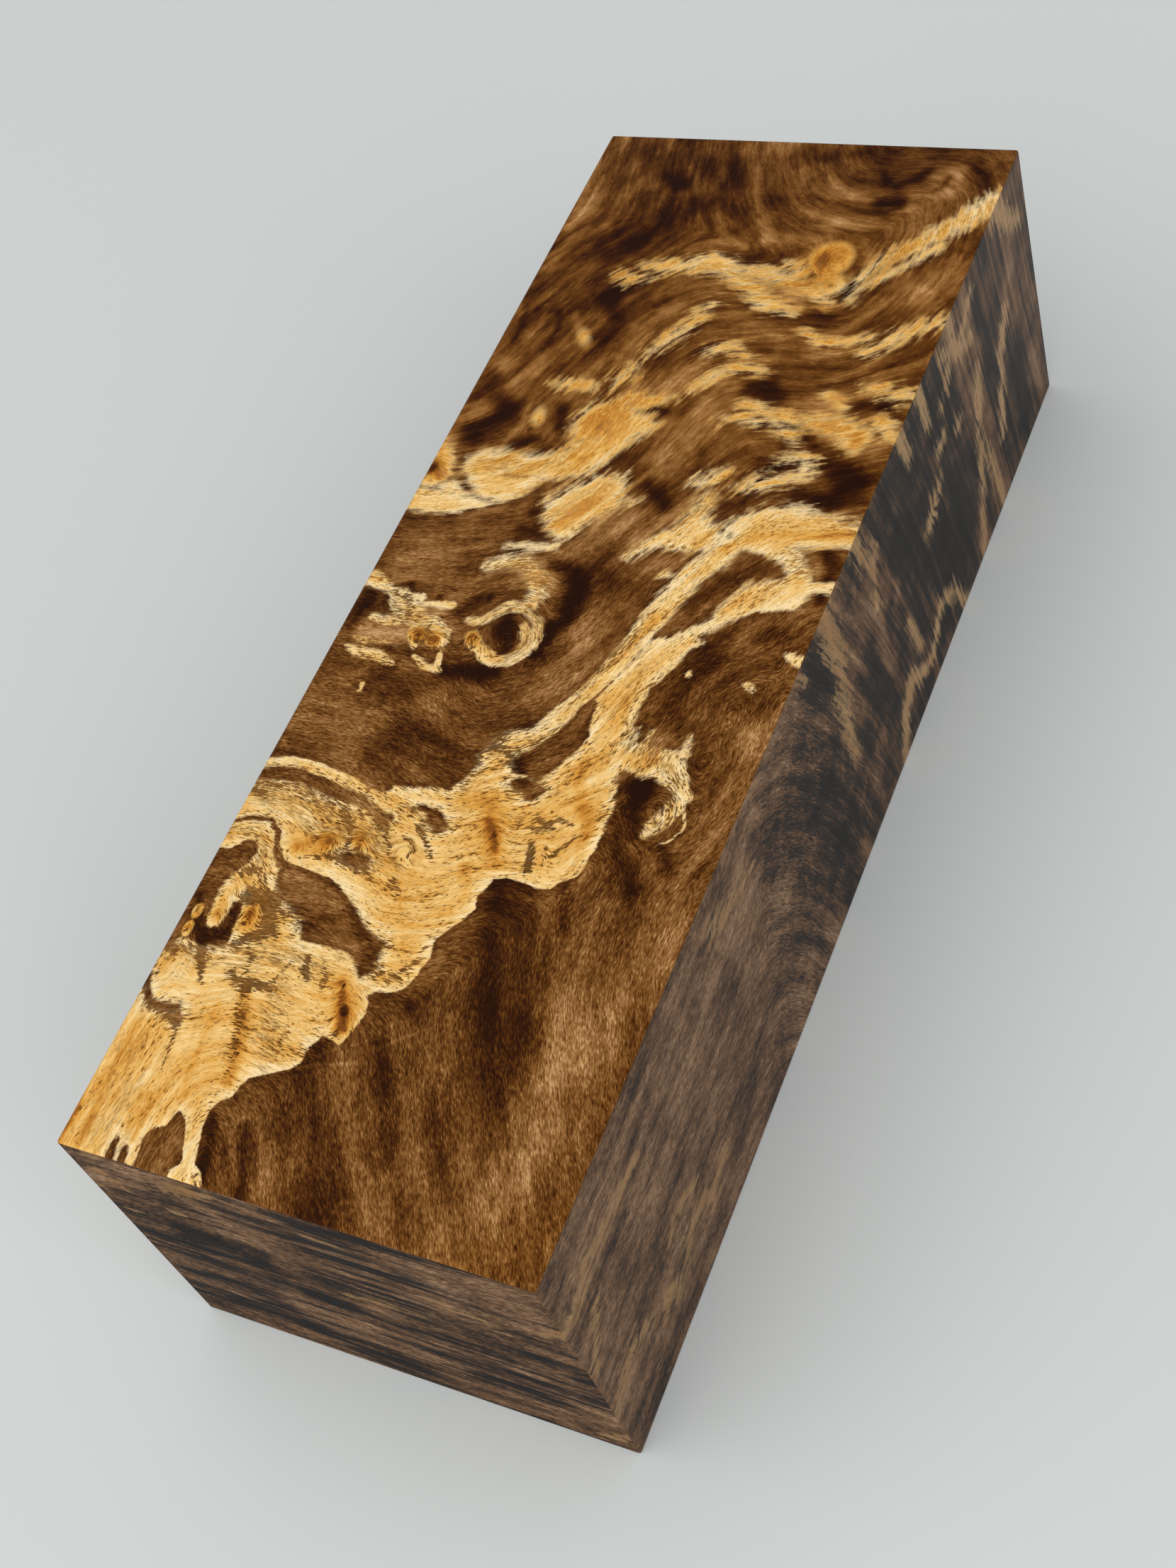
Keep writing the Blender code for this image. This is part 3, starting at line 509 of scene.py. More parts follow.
# Burl eyes on the upper face: (x, y, half length, half width, turn in degrees, dark heart, honey).
TOP_EYES = (
    (-3.1, -44.95, 2.3, 1.0, 118, 1.0, 0.35),
    (-4.2, -42.8, 0.7, 0.4, 118, 0.6, 0.3),
    (2.35, -26.1, 1.5, 0.8, 125, 0.6, 0.3),
    (6.9, -26.6, 1.2, 0.6, 120, 0.2, 0.2),
    (-19.0, -36.3, 0.7, 0.6, 90, 0.0, 0.1),
    (-18.8, -38.7, 1.2, 0.55, 100, 0.4, 0.4),
    (-20.8, -38.8, 0.9, 0.55, 90, 0.5, 0.4),
    (-20.8, -40.8, 0.9, 0.55, 90, 0.6, 0.4),
    (-15.9, -38.0, 1.3, 0.8, 95, 0.3, 0.5),
    (-19.4, -44.2, 0.7, 0.4, 90, 0.4, 0.3),
    (-15.0, -30.8, 0.8, 0.6, 20, 0.0, 0.3),
    (-12.3, -29.9, 1.1, 0.8, 70, 0.1, 0.4),
    (-9.2, -29.3, 1.0, 0.7, 120, 0.1, 0.4),
    (-4.9, -29.0, 1.0, 0.8, 120, 0.4, 0.2),
    (-17.6, -1.2, 0.8, 0.6, 20, 0.8, 0.2),
    (-13.9, -2.1, 0.8, 0.6, 0, 0.9, 0.3),
    (-19.2, -3.8, 0.8, 0.5, 100, 0.5, 0.2),
    (-9.0, -1.4, 0.9, 0.6, 100, 0.9, 0.1),
    (-14.2, -6.7, 0.9, 0.8, 0, 0.5, 0.5),
    (-12.3, -7.0, 0.8, 0.7, 0, 0.1, 0.6),
    (-8.75, -6.2, 0.8, 0.6, 120, 0.1, 0.6),
    (-10.9, -9.1, 0.6, 0.4, 100, 0.3, 0.1),
    (-5.6, -5.2, 2.6, 2.4, 100, 0.0, 0.0),
    (-21.8, 13.4, 1.7, 1.2, 90, 1.0, 0.4),
    (-13.7, 21.3, 0.6, 0.4, 100, 0.0, 0.3),
    (-13.9, 19.6, 0.8, 0.5, 120, 0.5, 0.2),
    (-13.3, 32.4, 0.7, 0.5, 120, 0.2, 0.2),
    (8.4, 45.7, 2.3, 2.1, 90, 0.0, 0.55),
    (9.5, 42.2, 1.0, 0.9, 0, 0.2, 0.3),
    (15.4, 26.6, 0.8, 0.5, 130, 0.4, 0.1),
    (13.2, -19.3, 1.6, 1.2, 120, 0.6, 0.0),
)

# Small round spots of pale wood: (x, y, half length, half width, turn in degrees).
TOP_PALE_SPOTS = (
    (8.4, 45.7, 2.2, 2.05, 90), (-19.0, -36.3, 0.7, 0.55, 90), (-18.8, -38.6, 1.3, 0.55, 98),
    (-20.8, -38.9, 0.8, 0.5, 90), (-20.8, -40.8, 0.9, 0.5, 90), (-15.9, -38.0, 1.4, 0.85, 95),
    (-8.75, -6.2, 0.8, 0.6, 120), (-12.3, -7.0, 0.9, 0.8, 0), (-14.2, -6.7, 1.0, 0.8, 0),
    (-13.7, 21.3, 0.6, 0.35, 100), (-13.3, 32.4, 0.6, 0.3, 120),
)

# The dark comma in the round knot, and other dark flecks: (x, y, half length, half width, turn).
TOP_DARK_SPOTS = (
    (8.95, 45.9, 0.95, 0.28, 105), (8.7, 44.6, 0.5, 0.25, 20), (-3.1, -44.95, 0.62, 0.40, 120),
    (-4.2, -42.8, 0.34, 0.20, 120), (2.35, -26.1, 0.45, 0.24, 120), (-20.8, -38.7, 0.22, 0.16, 90),
    (-20.8, -40.8, 0.25, 0.18, 90), (-18.8, -38.8, 0.22, 0.16, 90), (-17.3, -13.7, 0.5, 0.25, 150),
    (-19.4, -44.1, 0.2, 0.14, 90),
)

# Lines along which the grain runs, drawn away from the near end or to the right.
TOP_GRAIN = (
    ((-21.5, -63), (-21.5, -50), (-21.0, -44)), ((-18, -63), (-18, -50)), ((-14.5, -57), (-14, -47)),
    ((-12, -44), (-4.5, -43)), ((-11, -47.5), (-4.5, -48)), ((-10, -52.5), (-5.5, -51)),
    ((-3.5, -50), (6, -64)), ((0.5, -43), (4, -50), (12, -64)), ((-8.5, -54), (-2, -64)),
    ((-12.5, -64), (-12.5, -57)), ((6.5, -31), (10, -42), (14, -50), (20, -62)),
    ((12.5, -22), (15, -30), (17, -38), (21, -48)), ((19, -6), (20.5, -20), (21.5, -34)),
    ((-14.6, -32.4), (-8.4, -33.7), (-3.6, -37.0)), ((-13.6, -38.0), (-9.5, -36.6), (-6.2, -35.8)),
    ((-10.4, -39.2), (-6.5, -38.0), (-3.2, -37.2)), ((-16.4, -39.6), (-13, -39.0), (-11, -38.4)),
    ((-22, -33), (-19, -32), (-17, -36), (-16.5, -41)),
    ((-20, -43), (-16, -41.6), (-11, -40.6), (-6, -39.8)), ((-22, -45), (-20, -48.2), (-17, -48.4)),
    ((-4, -38), (-1.5, -34), (0.6, -30)), ((0.5, -40), (2.5, -34), (2, -30), (4, -26)),
    ((-24, -22.9), (-20, -22.2), (-15, -22.9), (-9.5, -24.2)), ((-24, -25), (-18, -24), (-12, -25.2)),
    ((-24, -27.5), (-19, -26.5), (-14, -27), (-11, -28.6), (-8, -30.6)),
    ((-24, -30), (-19.5, -28.8), (-17, -30.4), (-15, -32.8), (-10, -33)),
    ((-10, -25), (-6, -27), (-3, -29.5)),
    ((1.5, -24), (3.5, -28.5)), ((5, -29.5), (6, -26), (7.6, -21), (8.2, -15), (8.2, -9), (9.6, -4.5),
                                 (12.6, -1.8), (16, 1.4), (19, 4), (24, 4.6)),
    ((10.8, -28), (10.8, -20), (9.4, -14), (9.2, -8)),
    ((-1, -23), (-0.6, -18.4), (2, -14.6), (4.4, -9.6), (6.2, -4), (8, 2), (10.4, 7), (13.6, 9.8),
     (18, 10.8), (24, 11)),
    ((1.8, -19), (4.2, -15.6), (5.4, -11.6)),
    ((-23, -16), (-15, -16.4), (-8, -18.6), (-3, -21)), ((-22, -19.6), (-14, -20.4), (-7, -22.2)),
    ((-20, -13), (-12, -14), (-4, -15.6)), ((0.6, -13), (1.6, -6), (1.8, 2), (3.2, 8), (5.6, 13)),
    ((-3, -14.6), (-1, -9), (0, -5)),
    ((11.4, -12), (12, -8), (13.6, -4.6), (18, -1.2)), ((16.6, -14), (16.4, -9), (18.4, -4.4), (21.4, -1)),
    ((10.4, -17.4), (11, -14)), ((12.6, -17), (13.2, -14.6), (15.4, -14.4)),
    ((15, -24.4), (16.6, -21.4), (16.8, -18.8), (15.2, -16.4), (12.4, -15.6)),
    ((12.6, -22), (14.4, -26.6), (18, -33)), ((10.4, 1), (12.2, 4.4), (15.4, 6.8)),
    ((-24, -0.6), (-20, -1), (-17, -2.6), (-13, -4.8), (-11, -7)),
    ((-24, -8.8), (-18, -9.4), (-12, -9.6), (-8, -10.4)), ((-24, 2), (-16, 1.6), (-11, 2.4)),
    ((-11, 2), (-8, 3.4), (-5.4, 2.2), (-3.8, -0.4), (-2.4, -3.8), (-2.6, -6.8), (-4.6, -8.8)),
    ((-24, 5.6), (-16, 6), (-10, 5)), ((-24, 8.6), (-18, 8.6), (-13, 9.8)),
    ((-18, 15), (-13, 15), (-9, 14.6), (-6, 16.4), (-4.6, 19.6), (-3, 23), (0, 26.4), (3, 29.6), (8, 29.8)),
    ((-17, 12.6), (-13, 12), (-10.4, 13)), ((-8, 8), (-5, 11), (-2, 14.6)), ((-6, 6.6), (-2.6, 9.6), (1, 13)),
    ((2, 5), (5, 9), (6.8, 13), (8.4, 17)), ((0.6, 16), (3, 21), (5, 25), (10, 25), (14, 23.8), (19, 22.6)),
    ((9, 12), (11, 15.6), (15, 17.4)), ((13, 12.6), (17, 16), (20, 20)),
    ((10, 27.6), (14.6, 27), (19, 28.8), (24, 28)), ((-10, 17), (-9.6, 21), (-6.6, 26), (-5.6, 31), (-2, 37)),
    ((-20.5, 17), (-19, 24), (-20, 34), (-19.6, 46), (-19, 62)), ((-15, 17.6), (-14.4, 25), (-15.4, 34)),
    ((-12.6, 27), (-11, 38)), ((-14, 41), (-9, 43), (-4.6, 44), (0, 42.2), (4, 39.2), (8, 37.4), (13, 34.8)),
    ((1, 43.4), (5, 42.3), (8.6, 40.6)), ((12, 40), (13.6, 45), (17, 49.2), (21, 53.6), (24, 56.4)),
    ((16, 33.4), (20, 37), (24, 40)), ((13, 38), (17, 42.6), (21, 47)), ((0, 32), (3, 33), (6, 31.6)),
    ((3, 44.6), (-1, 51), (-3.6, 56), (-6, 63)), ((-9, 45), (-10, 53), (-12, 63)),
    ((10, 49), (7.4, 51.6), (3, 55), (0, 62)), ((15, 50), (14.8, 54), (12, 52.4), (7, 53.6)),
    ((19, 56), (17.4, 60.6), (12, 62)), ((2, 34.6), (6, 37.4)),
)

# ---------------------------------------------------------------------------------------------
# Right-hand side, as (y, z): pale streaks that hang from the upper edge, knots and arches.
RIGHT_PALE_VEINS = (
    (0.5, ((-63.2, 24.0, 1.4), (-60.6, 24.6, 1.2), (-58.0, 25.4, 0.8), (-53.0, 25.2, 0.6),
           (-48.0, 24.6, 0.3))),
    (0.4, ((-30.2, 28.9, 0.3), (-28.4, 28.0, 0.9), (-26.4, 26.9, 0.7), (-25.2, 26.3, 0.3))),
    (0.3, ((-27.4, 26.6, 0.3), (-24.2, 26.2, 0.4))), (0.3, ((-23.2, 25.8, 0.4), (-20.2, 25.4, 0.3))),
    (0.3, ((-6.3, 32.4, 0.5), (-5.2, 31.2, 0.5), (-4.2, 29.8, 0.3))),
    (0.7, ((1.4, 31.4, 2.6), (1.8, 28.6, 3.0), (2.6, 25.4, 2.2), (2.2, 22.0, 0.8))),
    (0.6, ((0.4, 22.4, 1.0), (1.2, 19.6, 2.0), (1.0, 16.4, 1.2), (0.8, 13.2, 0.6))),
    (0.6, ((9.8, 32.8, 2.4), (10.6, 30.6, 1.6), (10.4, 28.0, 0.6))),
    (0.6, ((11.6, 29.0, 1.2), (12.8, 27.0, 1.4), (12.4, 24.6, 0.8), (11.6, 21.6, 0.8))),
    (0.4, ((17.2, 13.0, 0.5), (18.0, 10.6, 0.8), (18.6, 7.4, 0.5))),
    (0.5, ((10.0, 0.0, 0.8), (12.0, 4.6, 1.1), (15.0, 6.8, 1.3), (18.0, 4.4, 1.0), (21.0, 3.6, 0.9),
           (24.6, 6.8, 1.2), (28.0, 5.2, 1.0), (31.0, 0.4, 0.8))),
    (0.5, ((38.0, 1.0, 0.9), (40.0, 8.0, 1.2), (41.6, 12.8, 1.2), (43.2, 7.6, 1.0), (45.0, 1.0, 0.7))),
    (0.6, ((25.6, 17.0, 0.8), (27.8, 18.0, 1.6), (30.0, 18.8, 0.6))),
    (0.5, ((31.4, 22.0, 0.9), (32.6, 22.2, 0.9))), (0.5, ((36.0, 20.2, 0.9), (37.0, 19.8, 0.9))),
    (0.6, ((41.0, 13.6, 0.6), (42.4, 17.0, 1.6), (43.8, 20.8, 0.7))),
    (0.6, ((50.0, 16.4, 0.9), (51.4, 18.0, 1.3), (53.0, 19.8, 0.7))),
    (0.5, ((47.6, 8.2, 0.7), (48.8, 11.6, 1.3), (50.0, 15.0, 0.6))),
    (0.6, ((34.0, 25.4, 0.6), (38.0, 28.6, 0.9), (40.0, 27.2, 0.9), (45.0, 29.6, 0.5))),
    (0.6, ((35.4, 30.2, 0.5), (39.6, 27.0, 0.8), (43.6, 25.2, 0.5))),
    (0.7, ((53.0, 33, 2.0), (55.0, 31.0, 2.2), (57.4, 28.0, 1.4), (60.4, 25.6, 0.6))),
    (0.6, ((23.0, 33, 1.6), (23.6, 30.6, 1.4), (25.0, 27.8, 0.5))),
    (0.6, ((28.6, 33, 1.2), (29.6, 30.0, 1.0), (29.4, 27.0, 0.4))),
    (0.6, ((38.6, 33, 1.2), (39.0, 30.8, 0.9))),
    (0.4, ((-53.4, 6.0, 0.5), (-51.8, 7.4, 0.7), (-50.2, 6.4, 0.7), (-51.0, 5.0, 0.5))),
    (0.5, ((-61.6, 9.8, 0.5), (-58.0, 10.6, 0.8), (-55.4, 9.2, 0.4))),
    (0.5, ((-47.6, 7.2, 0.5), (-44.6, 8.6, 0.8), (-41.6, 6.4, 0.6), (-37.6, 7.8, 0.3))),
    (0.4, ((-62.4, 15.8, 0.5), (-60.6, 18.8, 0.6), (-58.8, 21.0, 0.3))),
    (0.4, ((-49.2, 11.8, 0.4), (-46.2, 12.6, 0.6), (-43.4, 11.2, 0.3))),
)
RIGHT_SHADES = (
    (-0.24, 6.0, ((-10.0, 16.0, 20.0), (4.0, 16.0, 34.0), (24.0, 16.0, 34.0))),
    (-0.10, 6.0, ((34.0, 16.0, 34.0), (64.0, 16.0, 34.0))),
    (-0.16, 1.4, ((-62.0, 21.6, 1.2), (-58.0, 22.4, 1.2), (-52.0, 22.6, 0.8))),
    (-0.22, 1.6, ((-58.0, 1.4, 1.6), (-53.0, 2.4, 2.0), (-49.0, 1.4, 1.0))),
    (0.14, 1.0, ((-63.0, 27.0, 1.0), (-52.0, 28.2, 1.4), (-42.0, 28.6, 0.6))),
    (0.12, 1.0, ((-63.0, 24.6, 2.0), (-54.0, 25.6, 1.6), (-46.0, 24.6, 0.8))),
    (0.14, 0.8, ((-60.0, 9.0, 1.4), (-52.0, 9.4, 1.8), (-44.0, 10.6, 1.0))),
    (0.12, 0.8, ((-54.0, 4.6, 1.4), (-46.0, 5.4, 1.4), (-40.0, 6.6, 0.8))),
    (-0.16, 1.0, ((-62.0, 4.0, 1.0), (-52.0, 5.2, 1.0))),
    (-0.10, 2.0, ((-44.0, 2.0, 2.0), (-34.0, 6.0, 2.4), (-26.0, 12.0, 2.0))),
    (0.08, 3.0, ((-42.0, 26.0, 4.0), (-32.0, 24.0, 4.0), (-22.0, 20.0, 3.0))),
    (-0.10, 2.4, ((-14.0, 26.0, 2.4), (-8.0, 20.0, 3.0), (-6.0, 10.0, 3.0))),
    (0.20, 1.6, ((1.8, 32.0, 3.4), (2.4, 22.0, 2.6), (1.2, 12.0, 1.6))),
    (0.18, 1.4, ((10.4, 32.0, 2.0), (12.0, 24.0, 2.2), (11.6, 16.0, 1.4))),
    (0.16, 1.4, ((17.6, 14.0, 1.2), (15.0, 6.0, 2.0), (19.6, 4.0, 1.6), (25.0, 7.0, 1.6))),
    (0.20, 1.6, ((24.0, 32.0, 3.0), (25.0, 24.0, 1.6), (28.0, 18.0, 2.0))),
    (0.18, 1.8, ((38.0, 2.0, 2.0), (41.6, 13.0, 2.6), (42.6, 20.0, 2.0), (45.0, 2.0, 1.6))),
    (0.20, 2.0, ((38.0, 32.0, 4.0), (40.0, 26.0, 3.0), (44.0, 27.0, 2.0))),
    (0.20, 2.2, ((54.0, 32.0, 4.0), (57.0, 26.0, 3.0), (50.0, 16.0, 2.4), (48.0, 9.0, 1.6))),
    (0.14, 2.0, ((60.0, 20.0, 2.0), (60.0, 6.0, 2.4))),
)
RIGHT_HONEY = (
    (0.35, 1.2, ((38.4, 2.0, 1.0), (41.6, 12.4, 1.2), (45.0, 2.0, 1.0))),
    (0.30, 1.2, ((10.4, 28.6, 2.0), (12.6, 23.0, 1.6))),
    (0.20, 1.2, ((1.4, 30.0, 2.0), (2.2, 24.0, 1.2))),
)
RIGHT_EYES = (
    (-61.4, 24.1, 1.4, 0.9, 10, 0.5, 0.0), (-51.7, 6.2, 1.4, 1.0, 20, 0.7, 0.0),
    (-44.6, 7.4, 1.2, 0.8, 160, 0.4, 0.0), (-57.8, 9.8, 1.2, 0.7, 10, 0.4, 0.0),
    (42.3, 17.2, 1.0, 0.7, 60, 0.2, 0.1), (28.0, 18.0, 1.0, 0.6, 20, 0.2, 0.1),
)
RIGHT_GRAIN = (
    ((-28, 3), (-44, 4), (-62, 3)), ((-24, 10), (-44, 9), (-62, 10)), ((-22, 17), (-42, 18), (-62, 16)),
    ((-24, 24), (-42, 25), (-62, 24)), ((-26, 30), (-44, 29.4), (-62, 30)),
    ((-12, 0), (-15, 12), (-19, 19)), ((-6, 4), (-9, 18), (-14, 31)), ((2, 0), (1, 14), (2, 32)),
    ((10, 0), (12, 10), (11, 22), (10, 32)), ((18, 0), (17, 14), (19, 32)), ((26, 0), (27, 14), (25, 32)),
    ((34, 0), (35, 16), (37, 32)), ((41, 0), (42, 14), (43, 32)), ((49, 0), (50, 14), (52, 32)),
    ((58, 0), (57, 16), (58, 32)),
)

# Near end, as (x, z): sawn across, dark, with a few golden blotches under the upper edge.
NEAR_PALE_VEINS = (
    (0.5, ((-13.4, 29.0, 0.8), (-11.4, 29.4, 2.0), (-9.2, 30.2, 1.6), (-7.4, 31.2, 0.8))),
    (0.4, ((-20.0, 28.6, 0.7), (-18.6, 27.2, 0.8), (-18.2, 26.0, 0.4))),
    (0.4, ((-22.0, 25.2, 0.6), (-21.0, 24.8, 0.5))), (0.4, ((-20.4, 21.2, 0.6), (-19.6, 20.8, 0.5))),
    (0.3, ((-19.6, 31.6, 0.6), (-18.4, 31.4, 0.6))), (0.4, ((-14.6, 24.2, 0.5), (-13.4, 23.8, 0.5))),
    (0.4, ((-17.4, 16.2, 0.5), (-16.4, 15.8, 0.4))), (0.4, ((-7.6, 14.2, 0.5), (-6.4, 13.8, 0.4))),
    (0.6, ((1.4, 28.4, 0.6), (3.8, 27.8, 1.1), (6.2, 26.8, 0.6))),
    (0.5, ((11.0, 22.2, 0.7), (13.6, 22.0, 0.8), (15.6, 21.0, 0.5))),
    (0.7, ((0.0, 17.0, 0.4), (5.0, 18.2, 0.9), (10.0, 19.0, 0.4))),
    (0.6, ((19.8, 23.0, 0.8), (21.6, 24.0, 1.0))),
    (0.5, ((18.4, 1.0, 0.6), (20.4, 2.6, 1.2), (22.0, 3.6, 0.8))),
)
NEAR_SHADES = (
    (-0.12, 3.0, ((-20.0, 20.0, 10.0), (-4.0, 18.0, 10.0))),
    (-0.26, 1.4, ((-15.0, 20.0, 2.2), (-8.0, 19.6, 2.2))),
    (-0.24, 1.2, ((12.0, 17.0, 1.4), (18.0, 16.6, 1.4))),
    (-0.20, 1.0, ((-5.0, 14.0, 0.9), (0.4, 14.0, 0.9))), (0.12, 2.0, ((-10.0, 27.0, 1.6), (4.0, 25.4, 1.6))),
    (0.14, 2.0, ((4.0, 20.0, 2.0), (12.0, 25.0, 1.6), (20.0, 27.0, 2.0))),
    (-0.16, 1.0, ((-20.0, 6.0, 1.6), (-6.0, 4.6, 1.4), (10.0, 5.4, 1.0))),
)
NEAR_HONEY = (
    (0.55, 1.0, ((-13.4, 29.0, 1.0), (-9.0, 30.4, 1.6))),
    (0.40, 1.0, ((-20.0, 28.0, 0.8), (-18.6, 26.6, 0.8))),
    (0.35, 0.8, ((-21.4, 25.0, 0.8), (-19.6, 21.0, 0.6))),
)
NEAR_EYES = ((-11.0, 29.6, 1.4, 0.8, 10, 0.3, 0.2), (4.0, 21.0, 1.6, 1.0, 20, 0.3, 0.0))
NEAR_GRAIN = (
    ((-22, 2), (-10, 3), (4, 2), (22, 3)), ((-22, 12), (-8, 13), (6, 11.6), (22, 12.6)),
    ((-22, 21), (-8, 22), (8, 20), (22, 22)), ((-22, 29), (-8, 30.6), (6, 28), (22, 30)),
)


# ---------------------------------------------------------------------------------------------
# Painting the figure: every function below works on arrays of points in millimetres.

# The numbers kept at each point of the mesh, and what each starts from.
BASE_SHADE = 0.50
LAYERS = {
    "pale": FAR_AWAY, "fray": 0.4, "shade": BASE_SHADE, "honey": 0.0, "pepper": 0.22, "stain": 0.0,
    "ripple": 0.2, "grain": 0.0,
}
FACE_NAMES = ("top", "right", "near", "left", "far", "under")
SAWN_SHARE = {"near": 1.0, "far": 0.6}

BEYOND_ALL = 1e9
TINY = 1e-9

# Eyes: how high and how tightly the rings rise, and how dark and how small the heart is.
RING_HEIGHT = 1.6
RING_TIGHTNESS = 0.8
HEART_DARKNESS = 0.5
HEART_TIGHTNESS = 2.2
PALE_SPOT_FRAY = 0.08
DARK_SPOT_FRAY = 0.05

# The grid on which the grain's levels are worked out, in mm, and how its lines pull on them.
GRAIN_STEP = 0.5
GRAIN_REACH = 1.6
GRAIN_PIECE = 1.2
LEVELLING_ROUNDS = 14
LEAN_SHARE = 0.8
LINE_SHARE = 0.2
LEAST_PACE = 0.05

# What changes towards the far end of the upper face: how much, and the two places in mm between
# which it comes in. The pale wood widens and frays, and light and dark stand further apart.
FAR_WIDENING = (0.24, -14, 8)
FAR_FRAYING = (0.6, -12, 10)
FAR_CONTRAST = (0.35, -30, 0)
FAR_LIGHTENING = (0.02, -10, 20)


def beside(points, start, end):
    """How far along a straight run each point lies, from 0 to 1, and its distance to the run."""
    run = np.array((end[0] - start[0], end[1] - start[1]))
    length_squared = max(float(run @ run), TINY)
    share = ((points - start[:2]) @ run / length_squared).clip(0, 1)
    gap = np.hypot(points[:, 0] - start[0] - share * run[0], points[:, 1] - start[1] - share * run[1])
    return share, gap


def along_stroke(points, path):
    """How far inside a stroke each point lies: half the width there less the distance to the line."""
    inside = np.full(len(points), -BEYOND_ALL)
    for start, end in zip(path, path[1:]):
        share, gap = beside(points, start, end)
        inside = np.maximum(inside, (start[2] + (end[2] - start[2]) * share) / 2 - gap)
    return inside


def within_outline(points, outline):
    """Distance inside a closed outline, negative outside, and the fray of its nearest side."""
    nearest = np.full(len(points), BEYOND_ALL)
    fray = np.zeros(len(points))
    crossings = np.zeros(len(points), int)
    for start, end in zip(outline, outline[1:] + outline[:1]):
        share, gap = beside(points, start, end)
        closer = gap < nearest
        nearest[closer] = gap[closer]
        fray[closer] = (start[2] + (end[2] - start[2]) * share)[closer]
        if start[1] != end[1]:
            straddles = (points[:, 1] < start[1]) != (points[:, 1] < end[1])
            meets = start[0] + (points[:, 1] - start[1]) * (end[0] - start[0]) / (end[1] - start[1])
            crossings += straddles & (points[:, 0] < meets)
    return np.where(crossings % 2 == 1, nearest, -nearest), fray


def near_path(points, path, reach):
    """Picks out the points that can be within reach of a path."""
    corners = np.array([corner[:2] for corner in path], float)
    low = corners.min(axis=0) - reach
    high = corners.max(axis=0) + reach
    return np.flatnonzero(((points > low) & (points < high)).all(axis=1))


def spot_depth(points, x, y, half_length, half_width, turn):
    """1 at the heart of an oval spot, 0 on its rim and negative outside."""
    angle = math.radians(turn)
    dx = points[:, 0] - x
    dy = points[:, 1] - y
    lengthwise = (dx * math.cos(angle) + dy * math.sin(angle)) / half_length
    crosswise = (dy * math.cos(angle) - dx * math.sin(angle)) / half_width
    return 1 - np.hypot(lengthwise, crosswise)


def smooth_step(low, high, value):
    """0 below low, 1 above high, and an even curve between them."""
    share = ((value - low) / (high - low)).clip(0, 1)
    return share * share * (3 - 2 * share)


def towards_far_end(points, change):
    """One of the changes along the upper face, at each point."""
    amount, begins, ends = change
    return amount * smooth_step(begins, ends, points[:, 1])


class Figure:
    """The wood figure on one face, as numbers at its points."""

    def __init__(self, points):
        self.points = points
        for name, start in LAYERS.items():
            setattr(self, name, np.full(len(points), start))

    def lay(self, chosen, inside, fray, cut):
        """Lets pale wood in, or cuts it away, wherever that moves its edge."""
        level = -inside if cut else inside
        wins = level < self.pale[chosen] if cut else level > self.pale[chosen]
        winners = chosen[wins]
        self.pale[winners] = level[wins]
        self.fray[winners] = np.broadcast_to(fray, level.shape)[wins]

    def paint_areas(self, areas, cut=False):
        for outline in areas:
            chosen = near_path(self.points, outline, -FAR_AWAY)
            inside, fray = within_outline(self.points[chosen], outline)
            self.lay(chosen, inside, fray, cut)

    def paint_lines(self, lines, cut=False):
        for fray, path in lines:
            chosen = near_path(self.points, path, -FAR_AWAY)
            self.lay(chosen, along_stroke(self.points[chosen], path), fray, cut)

    def paint_spots(self, spots, cut=False):
        fray = DARK_SPOT_FRAY if cut else PALE_SPOT_FRAY
        for x, y, half_length, half_width, turn in spots:
            depth = spot_depth(self.points, x, y, half_length, half_width, turn)
            inside = depth * min(half_length, half_width)
            chosen = np.flatnonzero(inside > FAR_AWAY)
            self.lay(chosen, inside[chosen], fray, cut)

    def paint_soft(self, field, strokes):
        """Adds strokes with soft edges to one of the numbers."""
        for amount, softness, path in strokes:
            chosen = near_path(self.points, path, 3 * softness + 3)
            inside = along_stroke(self.points[chosen], path)
            field[chosen] += amount * smooth_step(-softness, softness, inside)

    def paint_eyes(self, eyes):
        """Raises the grain levels into rings round each eye, with a dark heart and a honey halo."""
        for x, y, half_length, half_width, turn, heart, honey in eyes:
            depth = spot_depth(self.points, x, y, half_length, half_width, turn)
            spread = np.exp(-((1 - depth) ** 2) * RING_TIGHTNESS)
            self.grain += RING_HEIGHT * half_width * spread
            self.honey += honey * spread
            self.shade -= HEART_DARKNESS * heart * np.exp(-((1 - depth) * HEART_TIGHTNESS) ** 2)

    def follow_grain(self, lines, low, high):
        """Fits levels whose contours run along the given lines, and reads them at the points."""
        xs = np.arange(low[0], high[0] + GRAIN_STEP, GRAIN_STEP)
        ys = np.arange(low[1], high[1] + GRAIN_STEP, GRAIN_STEP)
        pull_x, pull_y = pull_of_lines(lines, *np.meshgrid(xs, ys, indexing="ij"))
        levels = levels_from_slopes(pull_x, pull_y)
        for _ in range(LEVELLING_ROUNDS):
            # even out the pace: full slope everywhere, turned the way the levels already lean
            lean_x, lean_y = np.gradient(levels, GRAIN_STEP)
            pace = np.hypot(lean_x, lean_y) + LEAST_PACE
            levels = levels_from_slopes(
                LEAN_SHARE * lean_x / pace + LINE_SHARE * pull_x,
                LEAN_SHARE * lean_y / pace + LINE_SHARE * pull_y,
            )
        self.grain += read_grid(levels, low, self.points)


